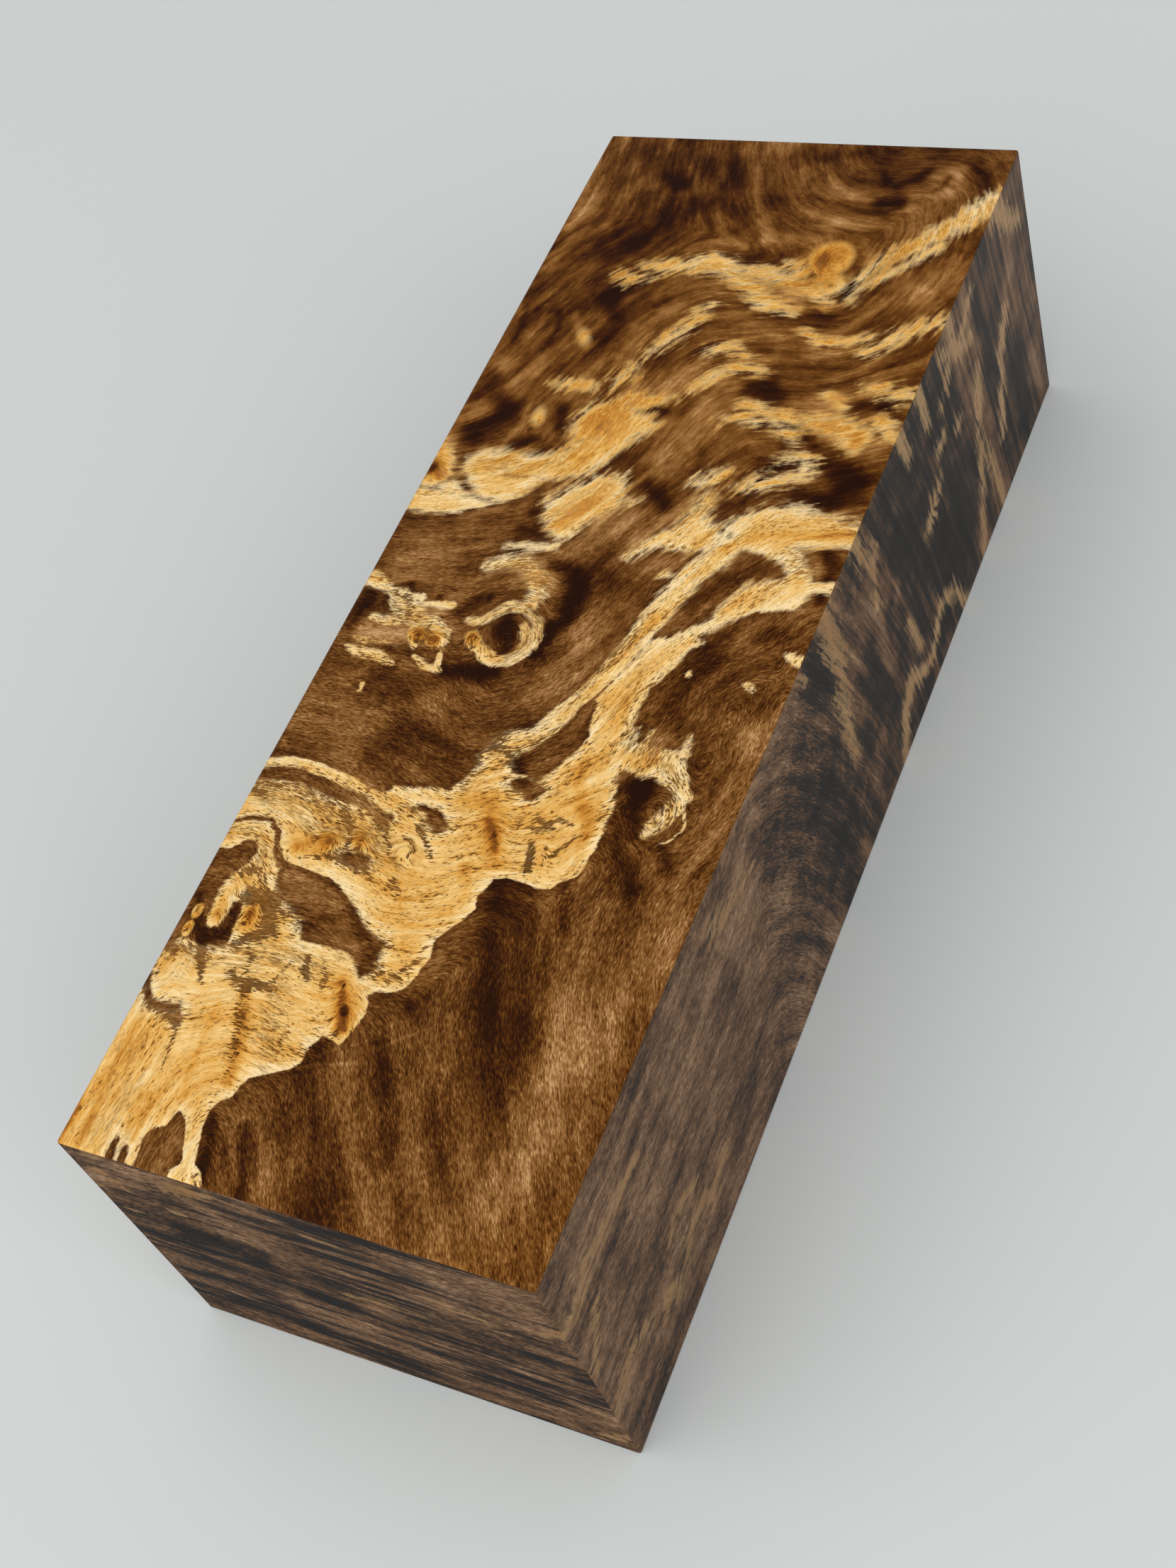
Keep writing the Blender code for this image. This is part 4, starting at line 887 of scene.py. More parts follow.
def pull_of_lines(lines, grid_x, grid_y):
    """The direction across the grain at each place of a grid, blended from the lines near it."""
    pull_x = np.zeros_like(grid_x)
    pull_y = np.zeros_like(grid_x)
    total = np.zeros_like(grid_x)
    for path in lines:
        for (ax, ay), (bx, by) in zip(path, path[1:]):
            length = math.hypot(bx - ax, by - ay)
            across = ((by - ay) / length, (ax - bx) / length)
            pieces = max(1, round(length / GRAIN_PIECE))
            for piece in range(pieces):
                share = (piece + 0.5) / pieces
                gap = (grid_x - ax - share * (bx - ax)) ** 2 + (grid_y - ay - share * (by - ay)) ** 2
                weight = (gap + GRAIN_REACH * GRAIN_REACH) ** -2
                pull_x += weight * across[0]
                pull_y += weight * across[1]
                total += weight
    return pull_x / total, pull_y / total


def levels_from_slopes(slope_x, slope_y):
    """Least-squares heights for a field of slopes, solved with cosine waves on a mirrored grid."""
    def mirrored(values, sign_x, sign_y):
        wide = np.concatenate((values, sign_x * values[::-1]), axis=0)
        return np.concatenate((wide, sign_y * wide[:, ::-1]), axis=1)

    waves_x = np.fft.fft2(mirrored(slope_x, -1, 1))
    waves_y = np.fft.fft2(mirrored(slope_y, 1, -1))
    turns_x = 2j * np.pi * np.fft.fftfreq(waves_x.shape[0], GRAIN_STEP)[:, None]
    turns_y = 2j * np.pi * np.fft.fftfreq(waves_x.shape[1], GRAIN_STEP)[None, :]
    power = turns_x * turns_x + turns_y * turns_y
    power[0, 0] = 1
    heights = np.fft.ifft2((turns_x * waves_x + turns_y * waves_y) / power).real
    return heights[: slope_x.shape[0], : slope_x.shape[1]]


def read_grid(values, origin, points):
    """The grid's value at each point, blended from the four places round it."""
    column = ((points[:, 0] - origin[0]) / GRAIN_STEP).clip(0, values.shape[0] - 1.001)
    row = ((points[:, 1] - origin[1]) / GRAIN_STEP).clip(0, values.shape[1] - 1.001)
    i = column.astype(int)
    j = row.astype(int)
    u = column - i
    v = row - j
    return (
        values[i, j] * (1 - u) * (1 - v) + values[i + 1, j] * u * (1 - v)
        + values[i, j + 1] * (1 - u) * v + values[i + 1, j + 1] * u * v
    )


def top_figure(points):
    """The upper face, at (x, y)."""
    figure = Figure(points)
    figure.paint_areas(TOP_PALE_AREAS)
    figure.paint_areas(TOP_DARK_AREAS, cut=True)
    figure.paint_lines(TOP_PALE_VEINS)
    figure.paint_lines(TOP_DARK_LINES, cut=True)
    figure.paint_spots(TOP_PALE_SPOTS)
    figure.paint_spots(TOP_DARK_SPOTS, cut=True)
    figure.pale += towards_far_end(points, FAR_WIDENING)
    figure.fray *= 1 + towards_far_end(points, FAR_FRAYING)
    figure.follow_grain(TOP_GRAIN, (-24, -66), (24, 66))
    figure.paint_eyes(TOP_EYES)
    figure.paint_soft(figure.shade, TOP_SHADES)
    contrast = 1 + towards_far_end(points, FAR_CONTRAST)
    figure.shade = BASE_SHADE + (figure.shade - BASE_SHADE) * contrast
    figure.shade += towards_far_end(points, FAR_LIGHTENING)
    figure.paint_soft(figure.honey, TOP_HONEY)
    figure.paint_soft(figure.pepper, TOP_PEPPER)
    figure.paint_soft(figure.stain, TOP_STAINS)
    figure.paint_soft(figure.ripple, TOP_RIPPLE)
    return figure


def side_figure(points, veins, grain, eyes, shades, honey, corners, wider, rougher):
    """A painted side or end, whose pale wood is a little wider and rougher than its strokes."""
    figure = Figure(points)
    figure.paint_lines(veins)
    figure.pale += wider
    figure.fray *= rougher
    figure.follow_grain(grain, *corners)
    figure.paint_eyes(eyes)
    figure.paint_soft(figure.shade, shades)
    figure.paint_soft(figure.honey, honey)
    return figure


def wobble(points, size, seed):
    """Smooth noise at each point, between about -1 and 1."""
    shift = Vector((seed * 7.3, seed * 3.1, seed * 5.7))
    return np.array([solid_noise.noise(Vector(point) / size + shift) for point in points])


def copied_figure(points_mm, face):
    """The figure of an unseen face: the upper face's, carried down over the edge and blurred."""
    depth = HIGH.z / MM - points_mm[:, 2]
    drift = 1.6 * wobble(points_mm, 9.0, 3)
    if face == "left":
        seen = np.stack((-22.4 + 0.42 * depth + drift * 0.4, points_mm[:, 1] + drift), axis=1)
    elif face == "far":
        seen = np.stack((points_mm[:, 0] + drift, 63.0 - 0.5 * depth + drift * 0.4), axis=1)
    else:
        seen = np.stack((-points_mm[:, 0] + drift, points_mm[:, 1] * 0.96 + drift + 1.5), axis=1)
    figure = top_figure(seen)
    figure.pale -= 0.25 + 0.5 * (wobble(points_mm, 5.0, 9) > 0.1) * np.minimum(depth / 8, 1)
    figure.fray = np.maximum(figure.fray, 0.4)
    figure.shade -= 0.08
    return figure


def figure_of(face, points_mm):
    """The figure at the points of one face, given as (x, y, z)."""
    if face == "top":
        return top_figure(points_mm[:, :2].copy())
    if face == "right":
        return side_figure(
            points_mm[:, 1:].copy(), RIGHT_PALE_VEINS, RIGHT_GRAIN, RIGHT_EYES, RIGHT_SHADES,
            RIGHT_HONEY, corners=((-66, -2), (66, 34)), wider=0.2, rougher=2.2)
    if face == "near":
        return side_figure(
            points_mm[:, [0, 2]].copy(), NEAR_PALE_VEINS, NEAR_GRAIN, NEAR_EYES, NEAR_SHADES,
            NEAR_HONEY, corners=((-24, -2), (24, 34)), wider=0.1, rougher=1.8)
    return copied_figure(points_mm, face)


# ---------------------------------------------------------------------------------------------
# The mesh
EDGE_SEGMENTS = 2
SHARP_ANGLE = math.radians(20)


def straight_edges(bm, axis, least):
    """The long edges that run along one axis."""
    chosen = []
    for edge in bm.edges:
        run = edge.verts[1].co - edge.verts[0].co
        if abs(run[axis]) > least and abs(run[axis]) > 0.99 * run.length:
            chosen.append(edge)
    return chosen


def cut_finer(bm, cuts, on_face):
    """Divides the edges that lie on one face of the block."""
    chosen = [edge for edge in bm.edges if on_face(edge.verts[0].co) and on_face(edge.verts[1].co)]
    bmesh.ops.subdivide_edges(bm, edges=chosen, cuts=cuts, use_grid_fill=True)


def block_mesh(settings):
    """A closed block of many small quads, with eased edges, in an unskewed box."""
    size = HIGH - LOW
    bm = bmesh.new()
    bmesh.ops.create_cube(bm, size=1.0)
    bmesh.ops.scale(bm, vec=size, verts=bm.verts[:])
    bmesh.ops.translate(bm, vec=(LOW + HIGH) / 2, verts=bm.verts[:])
    bmesh.ops.bevel(
        bm, geom=bm.edges[:], offset=settings.eased_edge, offset_type="OFFSET",
        segments=EDGE_SEGMENTS, profile=0.5, affect="EDGES", material=-1,
    )
    for axis in range(3):
        cuts = round(size[axis] / COARSE_STEP) - 1
        bmesh.ops.subdivide_edges(
            bm, edges=straight_edges(bm, axis, 2 * COARSE_STEP), cuts=cuts, use_grid_fill=True,
        )
    rim = settings.eased_edge * 1.02
    below = HIGH.z - rim
    cut_finer(bm, TOP_CUTS, lambda place: place.z > below)
    cut_finer(bm, SIDE_CUTS, lambda place: place.x > HIGH.x - rim and place.z < below)
    cut_finer(bm, SIDE_CUTS, lambda place: (
        place.y < LOW.y + rim and place.z < below and place.x < HIGH.x - rim))
    cut_finer(bm, SIDE_CUTS, lambda place: (
        place.x < LOW.x + rim and place.z < below and place.y > LOW.y + rim))
    crowded = [face for face in bm.faces if len(face.verts) > 4]
    bmesh.ops.triangulate(bm, faces=crowded, quad_method="BEAUTY", ngon_method="BEAUTY")
    bmesh.ops.recalc_face_normals(bm, faces=bm.faces[:])
    return bm


def skew_near_end(places, settings):
    """Narrows the block towards its near end and sets that end's left-hand corner back."""
    nearness = (HIGH.y - places[:, 1]) / (HIGH.y - LOW.y)
    leftness = (HIGH.x - places[:, 0]) / (HIGH.x - LOW.x)
    width = HIGH.x - LOW.x
    skewed = places.copy()
    skewed[:, 0] *= 1 - nearness * settings.near_taper / width
    skewed[:, 1] += nearness * settings.near_skew * leftness
    return skewed


def face_of(places, rim):
    """Which face of the unskewed block each point belongs to, with the upper face first."""
    owner = np.full(len(places), FACE_NAMES.index("under"))
    claims = (
        ("far", places[:, 1] > HIGH.y - rim), ("left", places[:, 0] < LOW.x + rim),
        ("near", places[:, 1] < LOW.y + rim), ("right", places[:, 0] > HIGH.x - rim),
        ("top", places[:, 2] > HIGH.z - rim),
    )
    for face, claimed in claims:
        owner[claimed] = FACE_NAMES.index(face)
    return owner


def store(mesh, name, values):
    """Keeps one number for each point of the mesh."""
    layer = mesh.attributes.new(name, "FLOAT", "POINT")
    layer.data.foreach_set("value", np.ascontiguousarray(values, dtype=np.float32))


def figure_the_mesh(mesh, settings):
    """Skews the block as the real one is, and stores the figure of all six faces on it."""
    count = len(mesh.vertices)
    flat = np.empty(count * 3)
    mesh.vertices.foreach_get("co", flat)
    box_places = flat.reshape(-1, 3)
    owner = face_of(box_places, settings.eased_edge * 0.6)
    places = skew_near_end(box_places, settings)
    points_mm = places / MM
    layers = {name: np.zeros(count) for name in (*LAYERS, "side", "sawn")}
    for index, face in enumerate(FACE_NAMES):
        chosen = np.flatnonzero(owner == index)
        figure = figure_of(face, points_mm[chosen])
        for name in LAYERS:
            layers[name][chosen] = getattr(figure, name)
        layers["side"][chosen] = face != "top"
        layers["sawn"][chosen] = SAWN_SHARE.get(face, 0.0)
    for name, values in layers.items():
        store(mesh, name, values)
    mesh.vertices.foreach_set("co", places.astype(np.float32).ravel())
    mesh.update()


# ---------------------------------------------------------------------------------------------
# The material. Each run of colours goes from its first place, 0, to its last, 1. The middle colour
# of four of them is a setting.
BROWN_MIDDLE = 3
PALE_MIDDLE = 2
SIDE_MIDDLE = 2
BROWN_STOPS = (
    (0.00, (0.014, 0.0020, 0.00005)), (0.20, (0.036, 0.0072, 0.0003)), (0.40, (0.092, 0.0285, 0.0030)),
    (0.56, (0.172, 0.065, 0.0120)), (0.76, (0.310, 0.140, 0.042)), (1.00, (0.58, 0.335, 0.140)),
)
AMBER_STOPS = (
    (0.00, (0.018, 0.0022, 0.00005)), (0.20, (0.050, 0.0090, 0.0002)), (0.40, (0.125, 0.0365, 0.0020)),
    (0.56, (0.225, 0.081, 0.0090)), (0.76, (0.380, 0.165, 0.034)), (1.00, (0.66, 0.360, 0.120)),
)
# The sides' brown run is a darker, duller copy of the upper face's: partly the sawn wood, partly painted
# shade.
SIDE_SHADED_STOPS = (
    (0.00, (0.004, 0.0033, 0.0034)), (0.28, (0.019, 0.0122, 0.0092)), (0.50, (0.112, 0.055, 0.0255)),
    (0.72, (0.230, 0.130, 0.070)), (1.00, (0.46, 0.290, 0.165)),
)
PALE_STOPS = (
    (0.00, (0.98, 0.735, 0.385)), (0.26, (0.90, 0.565, 0.190)), (0.52, (0.755, 0.370, 0.066)),
    (0.80, (0.50, 0.180, 0.018)), (1.00, (0.20, 0.058, 0.006)),
)
# The pale wood on the sides, darkened partly by painted shade.
SIDE_SHADED_PALE_STOPS = ((0.0, (0.46, 0.285, 0.135)), (0.4, (0.36, 0.200, 0.080)), (1.0, (0.34, 0.150, 0.040)))
PORE = (0.050, 0.017, 0.003, 1.0)
CHARCOAL = (0.0070, 0.0078, 0.0100)
GLOSS_TINT = (1.0, 0.72, 0.45, 1.0)
GLOSS_LEVEL = 0.08
BUMP_STRENGTH = 0.25
BUMP_DISTANCE = 0.05 * MM

# Noises that follow the grain: how fast each changes along and across it, its detail and roughness.
BROAD = (0.10, 0.60, 3.0, 0.6)
STREAK = (0.30, 2.0, 3.0, 0.6)
STRAND = (1.6, 8.5, 2.0, 0.55)
FIBRE = (2.2, 14.0, 1.0, 0.5)
GROWTH = (0.20, 1.35, 2.5, 0.6)
PORE_PACE = (2.0, 7.6)

# Noises of the saw lines on the ends: how fast each changes along x, y and z, detail and roughness.
KERF = ((0.07, 0.07, 2.6), 2.5, 0.65)
SCORCH = ((0.09, 0.09, 0.42), 2.0, 0.6)


class Wiring:
    """Short names for the shader nodes that the wood uses."""

    def __init__(self, material):
        material.use_nodes = True
        self.tree = material.node_tree
        self.surface = self.tree.nodes["Principled BSDF"]

    def node(self, kind, inputs=(), **settings):
        made = self.tree.nodes.new(kind)
        for name, value in settings.items():
            setattr(made, name, value)
        for key, value in dict(inputs).items():
            self.feed(made.inputs[key], value)
        return made

    def feed(self, socket, value):
        if isinstance(value, bpy.types.NodeSocket):
            self.tree.links.new(value, socket)
        else:
            socket.default_value = value

    def stored(self, name):
        return self.node("ShaderNodeAttribute", attribute_type="GEOMETRY", attribute_name=name).outputs["Fac"]

    def math(self, operation, first, second=0.0, third=0.0, clamp=False):
        made = self.node("ShaderNodeMath", operation=operation, use_clamp=clamp)
        for socket, value in zip(made.inputs, (first, second, third)):
            self.feed(socket, value)
        return made.outputs[0]

    def vector(self, operation, *values):
        return self.node("ShaderNodeVectorMath", operation=operation, inputs=enumerate(values)).outputs[0]

    def times(self, first, second):
        return self.math("MULTIPLY", first, second)

    def summed(self, start, *parts):
        """The start, plus each value times its weight."""
        for value, weight in parts:
            start = self.math("MULTIPLY_ADD", value, weight, start)
        return start

    def ease(self, value, low, high, to_low=0.0, to_high=1.0):
        made = self.node("ShaderNodeMapRange", interpolation_type="SMOOTHSTEP", inputs={
            "Value": value, "From Min": low, "From Max": high, "To Min": to_low, "To Max": to_high,
        })
        return made.outputs["Result"]

    def noise(self, vector, detail, roughness, scale=1.0):
        made = self.node("ShaderNodeTexNoise", noise_dimensions="3D", inputs={
            "Vector": vector, "Scale": scale, "Detail": detail, "Roughness": roughness,
        })
        return self.math("SUBTRACT", made.outputs["Fac"], 0.5)

    def cells(self, vector):
        return self.node("ShaderNodeTexVoronoi", voronoi_dimensions="3D", feature="F1", inputs={
            "Vector": vector, "Scale": 1.0, "Randomness": 1.0,
        })

    def ramp(self, value, stops):
        made = self.node("ShaderNodeValToRGB", inputs={"Fac": value})
        ramp = made.color_ramp
        while len(ramp.elements) < len(stops):
            ramp.elements.new(0.5)
        for element, (position, colour) in zip(ramp.elements, stops):
            element.position = position
            element.color = (*colour, 1.0)
        return made.outputs["Color"]

    def blend(self, share, first, second):
        made = self.node("ShaderNodeMix", data_type="RGBA", blend_type="MIX", clamp_factor=True)
        self.feed(made.inputs["Factor"], share)
        self.feed(made.inputs["A"], first)
        self.feed(made.inputs["B"], second)
        return made.outputs["Result"]


def tinted(stops, middle, colour):
    """The same run of colours, shifted so that the stop called middle becomes the chosen colour."""
    usual = stops[middle][1]
    shift = [wanted / part for wanted, part in zip(colour, usual)]
    return [(place, [min(part * ratio, 1.0) for part, ratio in zip(rgb, shift)]) for place, rgb in stops]


def stretched(w, place_mm, grain, along, across):
    """Coordinates that change slowly along the grain and quickly across it."""
    levels = w.node("ShaderNodeCombineXYZ", inputs={"Z": w.times(grain, across)})
    return w.vector("MULTIPLY_ADD", place_mm, (along, along, along), levels.outputs[0])


def burl_material(settings):
    """The wood: the stored numbers, broken up by noise that follows the grain."""
    material = bpy.data.materials.new("figured_burl")
    w = Wiring(material)
    coordinates = w.node("ShaderNodeTexCoord").outputs["Object"]
    place_mm = w.node("ShaderNodeMapping", inputs={"Vector": coordinates, "Scale": (1000, 1000, 1000)})
    place_mm = place_mm.outputs["Vector"]
    place_y = w.node("ShaderNodeSeparateXYZ", inputs={"Vector": place_mm}).outputs["Y"]
    far_share = w.ease(place_y, -10.0, 25.0)
    pale, fray, shade, honey, pepper, stain, ripple, grain, side, sawn = (
        w.stored(name) for name in (*LAYERS, "side", "sawn")
    )

    broad, streak, strand, fibre, growth = (
        w.noise(stretched(w, place_mm, grain, along, across), detail, roughness)
        for along, across, detail, roughness in (BROAD, STREAK, STRAND, FIBRE, GROWTH)
    )
    cloud = w.noise(place_mm, 3.0, 0.55, scale=0.16)
    mottle = w.noise(place_mm, 2.0, 0.55, scale=1.1)

    # where the wood is pale: the stored distance, with an edge that frays along the grain and is
    # softer towards the far end
    tatter = w.times(strand, w.summed(3.0, (far_share, -1.2)))
    tatter = w.summed(tatter, (streak, 4.2), (mottle, 1.4))
    edge = w.summed(pale, (tatter, fray))
    softness = w.summed(0.05, (fray, 0.35), (far_share, 0.45))
    is_pale = w.ease(edge, w.times(softness, -1.0), softness)

    # pores: short dark dashes along the grain, crowded where the pale wood fades out, and fainter
    # towards the far end
    pore_cells = w.cells(stretched(w, place_mm, grain, *PORE_PACE))
    lot = w.node("ShaderNodeSeparateColor", inputs={"Color": pore_cells.outputs["Color"]})
    fading = w.times(w.ease(edge, 0.0, 2.0, 1.0, 0.0), fray)
    crowd = w.summed(pepper, (fading, 0.7), (broad, 1.2), (mottle, 1.0))
    chosen = w.ease(w.math("SUBTRACT", crowd, lot.outputs["Red"]), -0.04, 0.04)
    pore_size = w.summed(0.14, (lot.outputs["Green"], 0.18))
    pores = w.ease(w.math("SUBTRACT", pore_cells.outputs["Distance"], pore_size), -0.10, 0.10, 1.0, 0.0)
    pores = w.times(pores, chosen)
    pores = w.times(pores, w.summed(1.0, (far_share, -0.70)))

    # fine brown dashes: sparse in clean pale wood, and closing up in stains and frayed edges
    thinning = w.summed(0.75, (far_share, -0.60))
    density = w.summed(
        -0.48, (stain, 1.25), (fading, thinning), (pepper, 0.30), (ripple, 0.25), (broad, 1.3),
        (streak, 0.7))
    dashes = w.ease(w.summed(strand, (density, 0.42)), -0.03, 0.07)

    # thin growth lines that follow the grain round the eyes
    line_width = w.summed(0.020, (ripple, 0.075))
    lines = w.ease(w.math("ABSOLUTE", growth), 0.0, line_width, 1.0, 0.0)
    fine_lines = w.ease(w.math("ABSOLUTE", streak), 0.0, w.times(line_width, 1.3), 1.0, 0.0)
    drawn = w.math("MAXIMUM", lines, w.times(fine_lines, 0.7))
    drawn = w.times(drawn, w.ease(strand, -0.16, 0.06, 0.25, 1.0))
    drawn = w.times(drawn, w.summed(0.06, (ripple, 0.95)))

    # the brown wood, with calmer fibres and deeper clouds towards the far end, and a rim beside the
    # pale wood that is dark in the near half
    tone = w.summed(
        shade,
        (broad, w.ease(place_y, -30.0, 20.0, 0.70, 0.95)),
        (cloud, w.ease(place_y, -45.0, 10.0, 0.55, 1.10)),
        (strand, w.summed(-0.95, (far_share, 0.60))),
        (fibre, w.summed(0.70, (far_share, -0.45))),
        (streak, w.summed(0.40, (far_share, 0.25))),
        (mottle, 0.16),
        (drawn, 0.22),
    )
    rim = w.times(w.ease(pale, -0.9, 0.0), w.summed(-0.07, (far_share, 0.10)))
    tone = w.math("ADD", tone, rim)
    # darker towards the far end: partly the wood's own tone, partly painted shade for the light falling off
    tone = w.math("ADD", tone, w.ease(place_y, 12.0, 50.0, 0.0, -0.05))
    brown = w.ramp(tone, tinted(BROWN_STOPS, BROWN_MIDDLE, settings.brown_colour))
    amber = w.ramp(tone, tinted(AMBER_STOPS, BROWN_MIDDLE, settings.amber_colour))
    brown = w.blend(w.ease(honey, 0.0, 1.0), brown, amber)

    # the pale wood, warmer inside than along its edges, and veiled by the stains, lines and dashes
    warmth = w.summed(
        0.14, (honey, 0.8), (broad, 0.95), (streak, 0.75), (cloud, 0.55), (fibre, 0.45), (strand, 0.35))
    warmth = w.math("ADD", warmth, w.ease(edge, 0.0, 1.4, 0.0, 0.24))
    warmth = w.summed(warmth, (far_share, -0.18))
    cream = w.ramp(warmth, tinted(PALE_STOPS, PALE_MIDDLE, settings.pale_colour))
    veiled = w.times(stain, w.summed(0.12, (streak, 0.8)))
    veiled = w.math("MAXIMUM", veiled, drawn, clamp=True)
    dash_depth = w.summed(0.90, (far_share, -0.42))
    veiled = w.math("MAXIMUM", veiled, w.times(dashes, dash_depth))
    veiled = w.times(veiled, w.summed(1.0, (side, -0.65)))

    # the sides are darker, partly duller sawn wood and partly painted shade for the light that falls from
    # above; the ends carry saw lines with scorched marks
    kerf, scorch = (
        w.noise(w.vector("MULTIPLY", place_mm, pace), detail, roughness)
        for pace, detail, roughness in (KERF, SCORCH)
    )
    scorch = w.math("ADD", scorch, w.times(kerf, 0.9))
    kerf_share = w.times(sawn, w.ease(scorch, -0.18, 0.04, 0.95, 0.0))
    side_tone = w.summed(tone, (w.times(scorch, sawn), 0.30))
    scorched = (*settings.scorch_colour, 1.0)
    shaded_side_brown = w.ramp(side_tone, tinted(SIDE_SHADED_STOPS, SIDE_MIDDLE, settings.shaded_side_colour))
    shaded_side_brown = w.blend(kerf_share, shaded_side_brown, scorched)
    shaded_side_cream = w.blend(kerf_share, w.ramp(warmth, SIDE_SHADED_PALE_STOPS), scorched)
    brown = w.blend(side, brown, shaded_side_brown)
    cream = w.blend(side, cream, shaded_side_cream)
    cream = w.blend(veiled, cream, brown)
    cream = w.blend(w.times(pores, 0.85), cream, PORE)
    share = w.times(is_pale, w.summed(1.0, (side, -0.15)))
    colour = w.blend(share, brown, cream)

    rough = w.summed(0.40, (fibre, 0.25), (sawn, 0.25))
    height = w.summed(fibre, (pores, -0.6), (w.times(kerf, sawn), 5.0))
    bump = w.node("ShaderNodeBump", inputs={
        "Strength": BUMP_STRENGTH, "Distance": BUMP_DISTANCE, "Height": height,
    })

    w.feed(w.surface.inputs["Base Color"], colour)
    w.feed(w.surface.inputs["Roughness"], rough)
    w.feed(w.surface.inputs["Normal"], bump.outputs["Normal"])
    w.surface.inputs["Metallic"].default_value = 0.0
    w.surface.inputs["Specular IOR Level"].default_value = GLOSS_LEVEL
    w.surface.inputs["Specular Tint"].default_value = GLOSS_TINT
    return material


# ---------------------------------------------------------------------------------------------
# Settings, operators and panel
class BurlBlockSettings(bpy.types.PropertyGroup):
    near_taper: bpy.props.FloatProperty(
        name="Near end taper", description="How much narrower the near end is than the far end",
        default=0.0009, subtype="DISTANCE", unit="LENGTH")
    near_skew: bpy.props.FloatProperty(
        name="Near end skew", description="How far the near end's left corner is set back",
        default=0.0012, subtype="DISTANCE", unit="LENGTH")
    eased_edge: bpy.props.FloatProperty(
        name="Eased edge", description="How far the sharp edges are rubbed back",
        default=0.00025, subtype="DISTANCE", unit="LENGTH")
    pale_colour: bpy.props.FloatVectorProperty(
        name="Pale wood", description="Middle colour of the pale wood",
        default=PALE_STOPS[PALE_MIDDLE][1], size=3, subtype="COLOR", min=0.0, max=1.0)
    brown_colour: bpy.props.FloatVectorProperty(
        name="Brown wood", description="Middle colour of the brown wood on the upper face",
        default=BROWN_STOPS[BROWN_MIDDLE][1], size=3, subtype="COLOR", min=0.0, max=1.0)
    amber_colour: bpy.props.FloatVectorProperty(
        name="Amber wood", description="Middle colour of the brown wood where it turns to amber",
        default=AMBER_STOPS[BROWN_MIDDLE][1], size=3, subtype="COLOR", min=0.0, max=1.0)
    # The sides' middle colour holds painted shade as well as the duller wood of the sides.
    shaded_side_colour: bpy.props.FloatVectorProperty(
        name="Side wood", description="Middle colour of the duller wood on the sides",
        default=SIDE_SHADED_STOPS[SIDE_MIDDLE][1], size=3, subtype="COLOR", min=0.0, max=1.0)
    scorch_colour: bpy.props.FloatVectorProperty(
        name="Saw marks", description="Colour of the dark marks left by the saw on the ends",
        default=CHARCOAL, size=3, subtype="COLOR", min=0.0, max=1.0)


class StageSettings(bpy.types.PropertyGroup):
    floor_colour: bpy.props.FloatVectorProperty(
        name="Floor colour", description="Colour of the studio floor",
        default=(0.650, 0.672, 0.666), size=3, subtype="COLOR", min=0.0, max=1.0)
    floor_size: bpy.props.FloatProperty(
        name="Floor size", description="Width and depth of the studio floor",
        default=6.0, subtype="DISTANCE", unit="LENGTH")


def add_object(name, data):
    made = bpy.data.objects.new(name, data)
    bpy.context.scene.collection.objects.link(made)
    return made


class AddBurlBlock(bpy.types.Operator):
    """Add the block of figured burl in place of its plain solid"""

    bl_idname = "mesh.burl_block_add"
    bl_label = "Burl block"
    bl_options = {"REGISTER", "UNDO"}

    def execute(self, context):
        settings = context.scene.burl_block
        bm = block_mesh(settings)
        mesh = bpy.data.meshes.new("burl_block")
        bm.to_mesh(mesh)
        bm.free()
        figure_the_mesh(mesh, settings)
        mesh.materials.append(burl_material(settings))
        mesh.shade_smooth()
        mesh.set_sharp_from_angle(angle=SHARP_ANGLE)
        block = add_object("burl_block", mesh)
        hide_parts("burl_blank")
        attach(block, "root")
        return {"FINISHED"}


CAMERA_PLACE = Vector((0.08662, -0.11091, 0.17430))
CAMERA_AIM = Vector((0.00844, -0.01957, 0.0321))
CAMERA_ROLL = math.radians(-23.38)
CAMERA_LENS = 50.945
SENSOR_WIDTH = 36.0
CLIP_START = 0.005

FLOOR_ROUGHNESS = 0.6
FLOOR_GLOSS_LEVEL = 0.2
AIR_COLOUR = (0.95, 0.98, 1.0, 1.0)
AIR_STRENGTH = 0.40

# Lamps: name, place, aim, width and depth, power in watts, colour.
LAMPS = (
    ("overhead_softbox", (-0.20, -0.38, 0.80), (0, 0, 0), (2.0, 2.0), 11.3, (1.0, 0.98, 0.95)),
    ("right_fill", (1.30, -0.70, 0.70), (0, 0, 0.02), (1.2, 1.2), 10.0, (0.95, 0.97, 1.0)),
)


def add_floor(settings):
    bm = bmesh.new()
    bmesh.ops.create_grid(bm, x_segments=1, y_segments=1, size=settings.floor_size / 2)
    mesh = bpy.data.meshes.new("studio_floor")
    bm.to_mesh(mesh)
    bm.free()
    material = bpy.data.materials.new("pale_floor")
    material.use_nodes = True
    surface = material.node_tree.nodes["Principled BSDF"]
    surface.inputs["Base Color"].default_value = (*settings.floor_colour, 1.0)
    surface.inputs["Roughness"].default_value = FLOOR_ROUGHNESS
    surface.inputs["Specular IOR Level"].default_value = FLOOR_GLOSS_LEVEL
    mesh.materials.append(material)
    add_object("studio_floor", mesh)


def add_air():
    world = bpy.data.worlds.new("studio_air")
    world.use_nodes = True
    sky = world.node_tree.nodes["Background"]
    sky.inputs["Color"].default_value = AIR_COLOUR
    sky.inputs["Strength"].default_value = AIR_STRENGTH
    bpy.context.scene.world = world


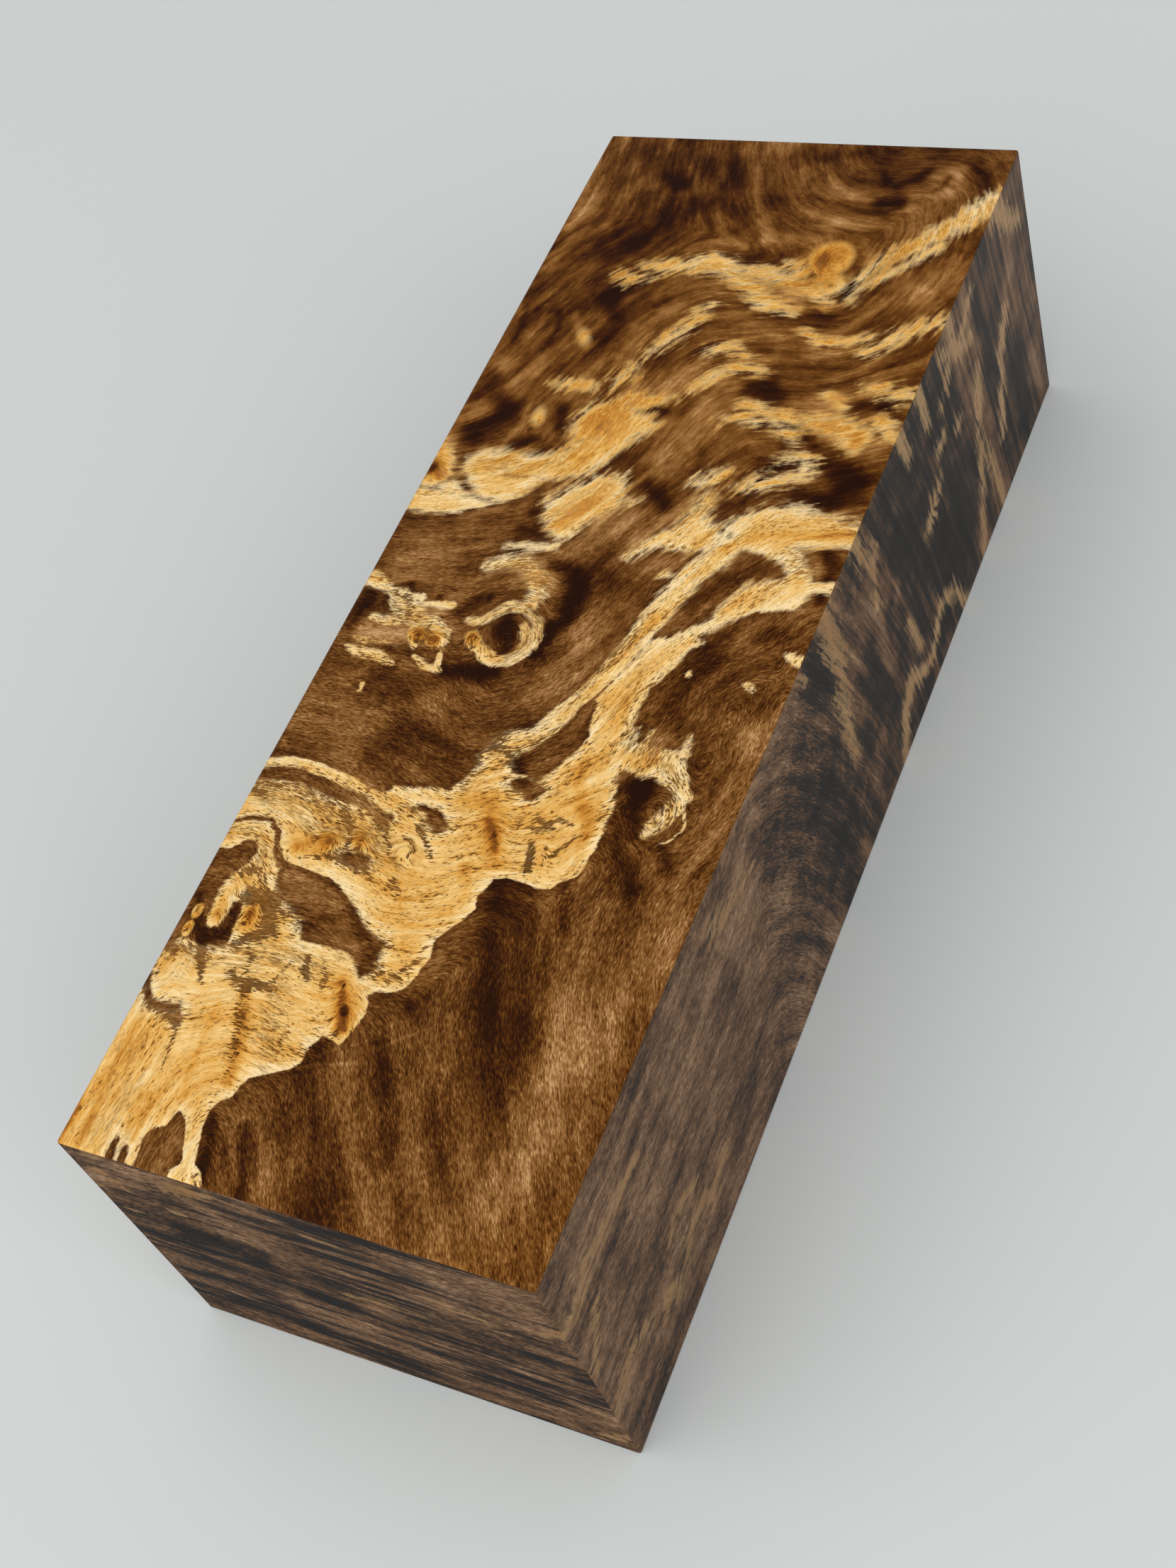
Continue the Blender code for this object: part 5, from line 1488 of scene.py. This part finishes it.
def add_lamp(name, place, aim, size, power, colour):
    lamp = bpy.data.lights.new(name, "AREA")
    lamp.shape = "RECTANGLE"
    lamp.size = size[0]
    lamp.size_y = size[1]
    lamp.energy = power
    lamp.color = colour
    light = add_object(name, lamp)
    light.location = place
    light.rotation_euler = (Vector(aim) - Vector(place)).to_track_quat("-Z", "Y").to_euler()


def add_camera():
    lens = bpy.data.cameras.new("main_camera")
    lens.lens = CAMERA_LENS
    lens.sensor_width = SENSOR_WIDTH
    lens.clip_start = CLIP_START
    camera = add_object("main_camera", lens)
    camera.location = CAMERA_PLACE
    aim = (CAMERA_AIM - CAMERA_PLACE).to_track_quat("-Z", "Y")
    camera.rotation_mode = "QUATERNION"
    camera.rotation_quaternion = aim @ Quaternion((0, 0, 1), CAMERA_ROLL)
    bpy.context.scene.camera = camera


class AddStage(bpy.types.Operator):
    """Add the pale floor, the soft lights and the camera"""

    bl_idname = "scene.burl_stage_add"
    bl_label = "Studio stage"
    bl_options = {"REGISTER", "UNDO"}

    def execute(self, context):
        add_floor(context.scene.burl_stage)
        add_air()
        for lamp in LAMPS:
            add_lamp(*lamp)
        add_camera()
        context.scene.view_settings.view_transform = "Standard"
        return {"FINISHED"}


class BurlPanel(bpy.types.Panel):
    """Sidebar buttons for the block and its stage"""

    bl_label = "Burl block"
    bl_idname = "VIEW3D_PT_burl_block"
    bl_space_type = "VIEW_3D"
    bl_region_type = "UI"
    bl_category = "Burl block"

    def draw(self, context):
        for settings in (context.scene.burl_block, context.scene.burl_stage):
            for name in settings.bl_rna.properties.keys():
                if name not in ("rna_type", "name"):
                    self.layout.prop(settings, name)
        self.layout.operator(AddBurlBlock.bl_idname)
        self.layout.operator(AddStage.bl_idname)


CLASSES = (BurlBlockSettings, StageSettings, AddBurlBlock, AddStage, BurlPanel)


def register():
    for cls in CLASSES:
        bpy.utils.register_class(cls)
    bpy.types.Scene.burl_block = bpy.props.PointerProperty(type=BurlBlockSettings)
    bpy.types.Scene.burl_stage = bpy.props.PointerProperty(type=StageSettings)


def unregister():
    del bpy.types.Scene.burl_stage
    del bpy.types.Scene.burl_block
    for cls in reversed(CLASSES):
        bpy.utils.unregister_class(cls)


def main():
    register()
    bpy.ops.mesh.burl_block_add()
    bpy.ops.scene.burl_stage_add()


if __name__ == "__main__":
    main()
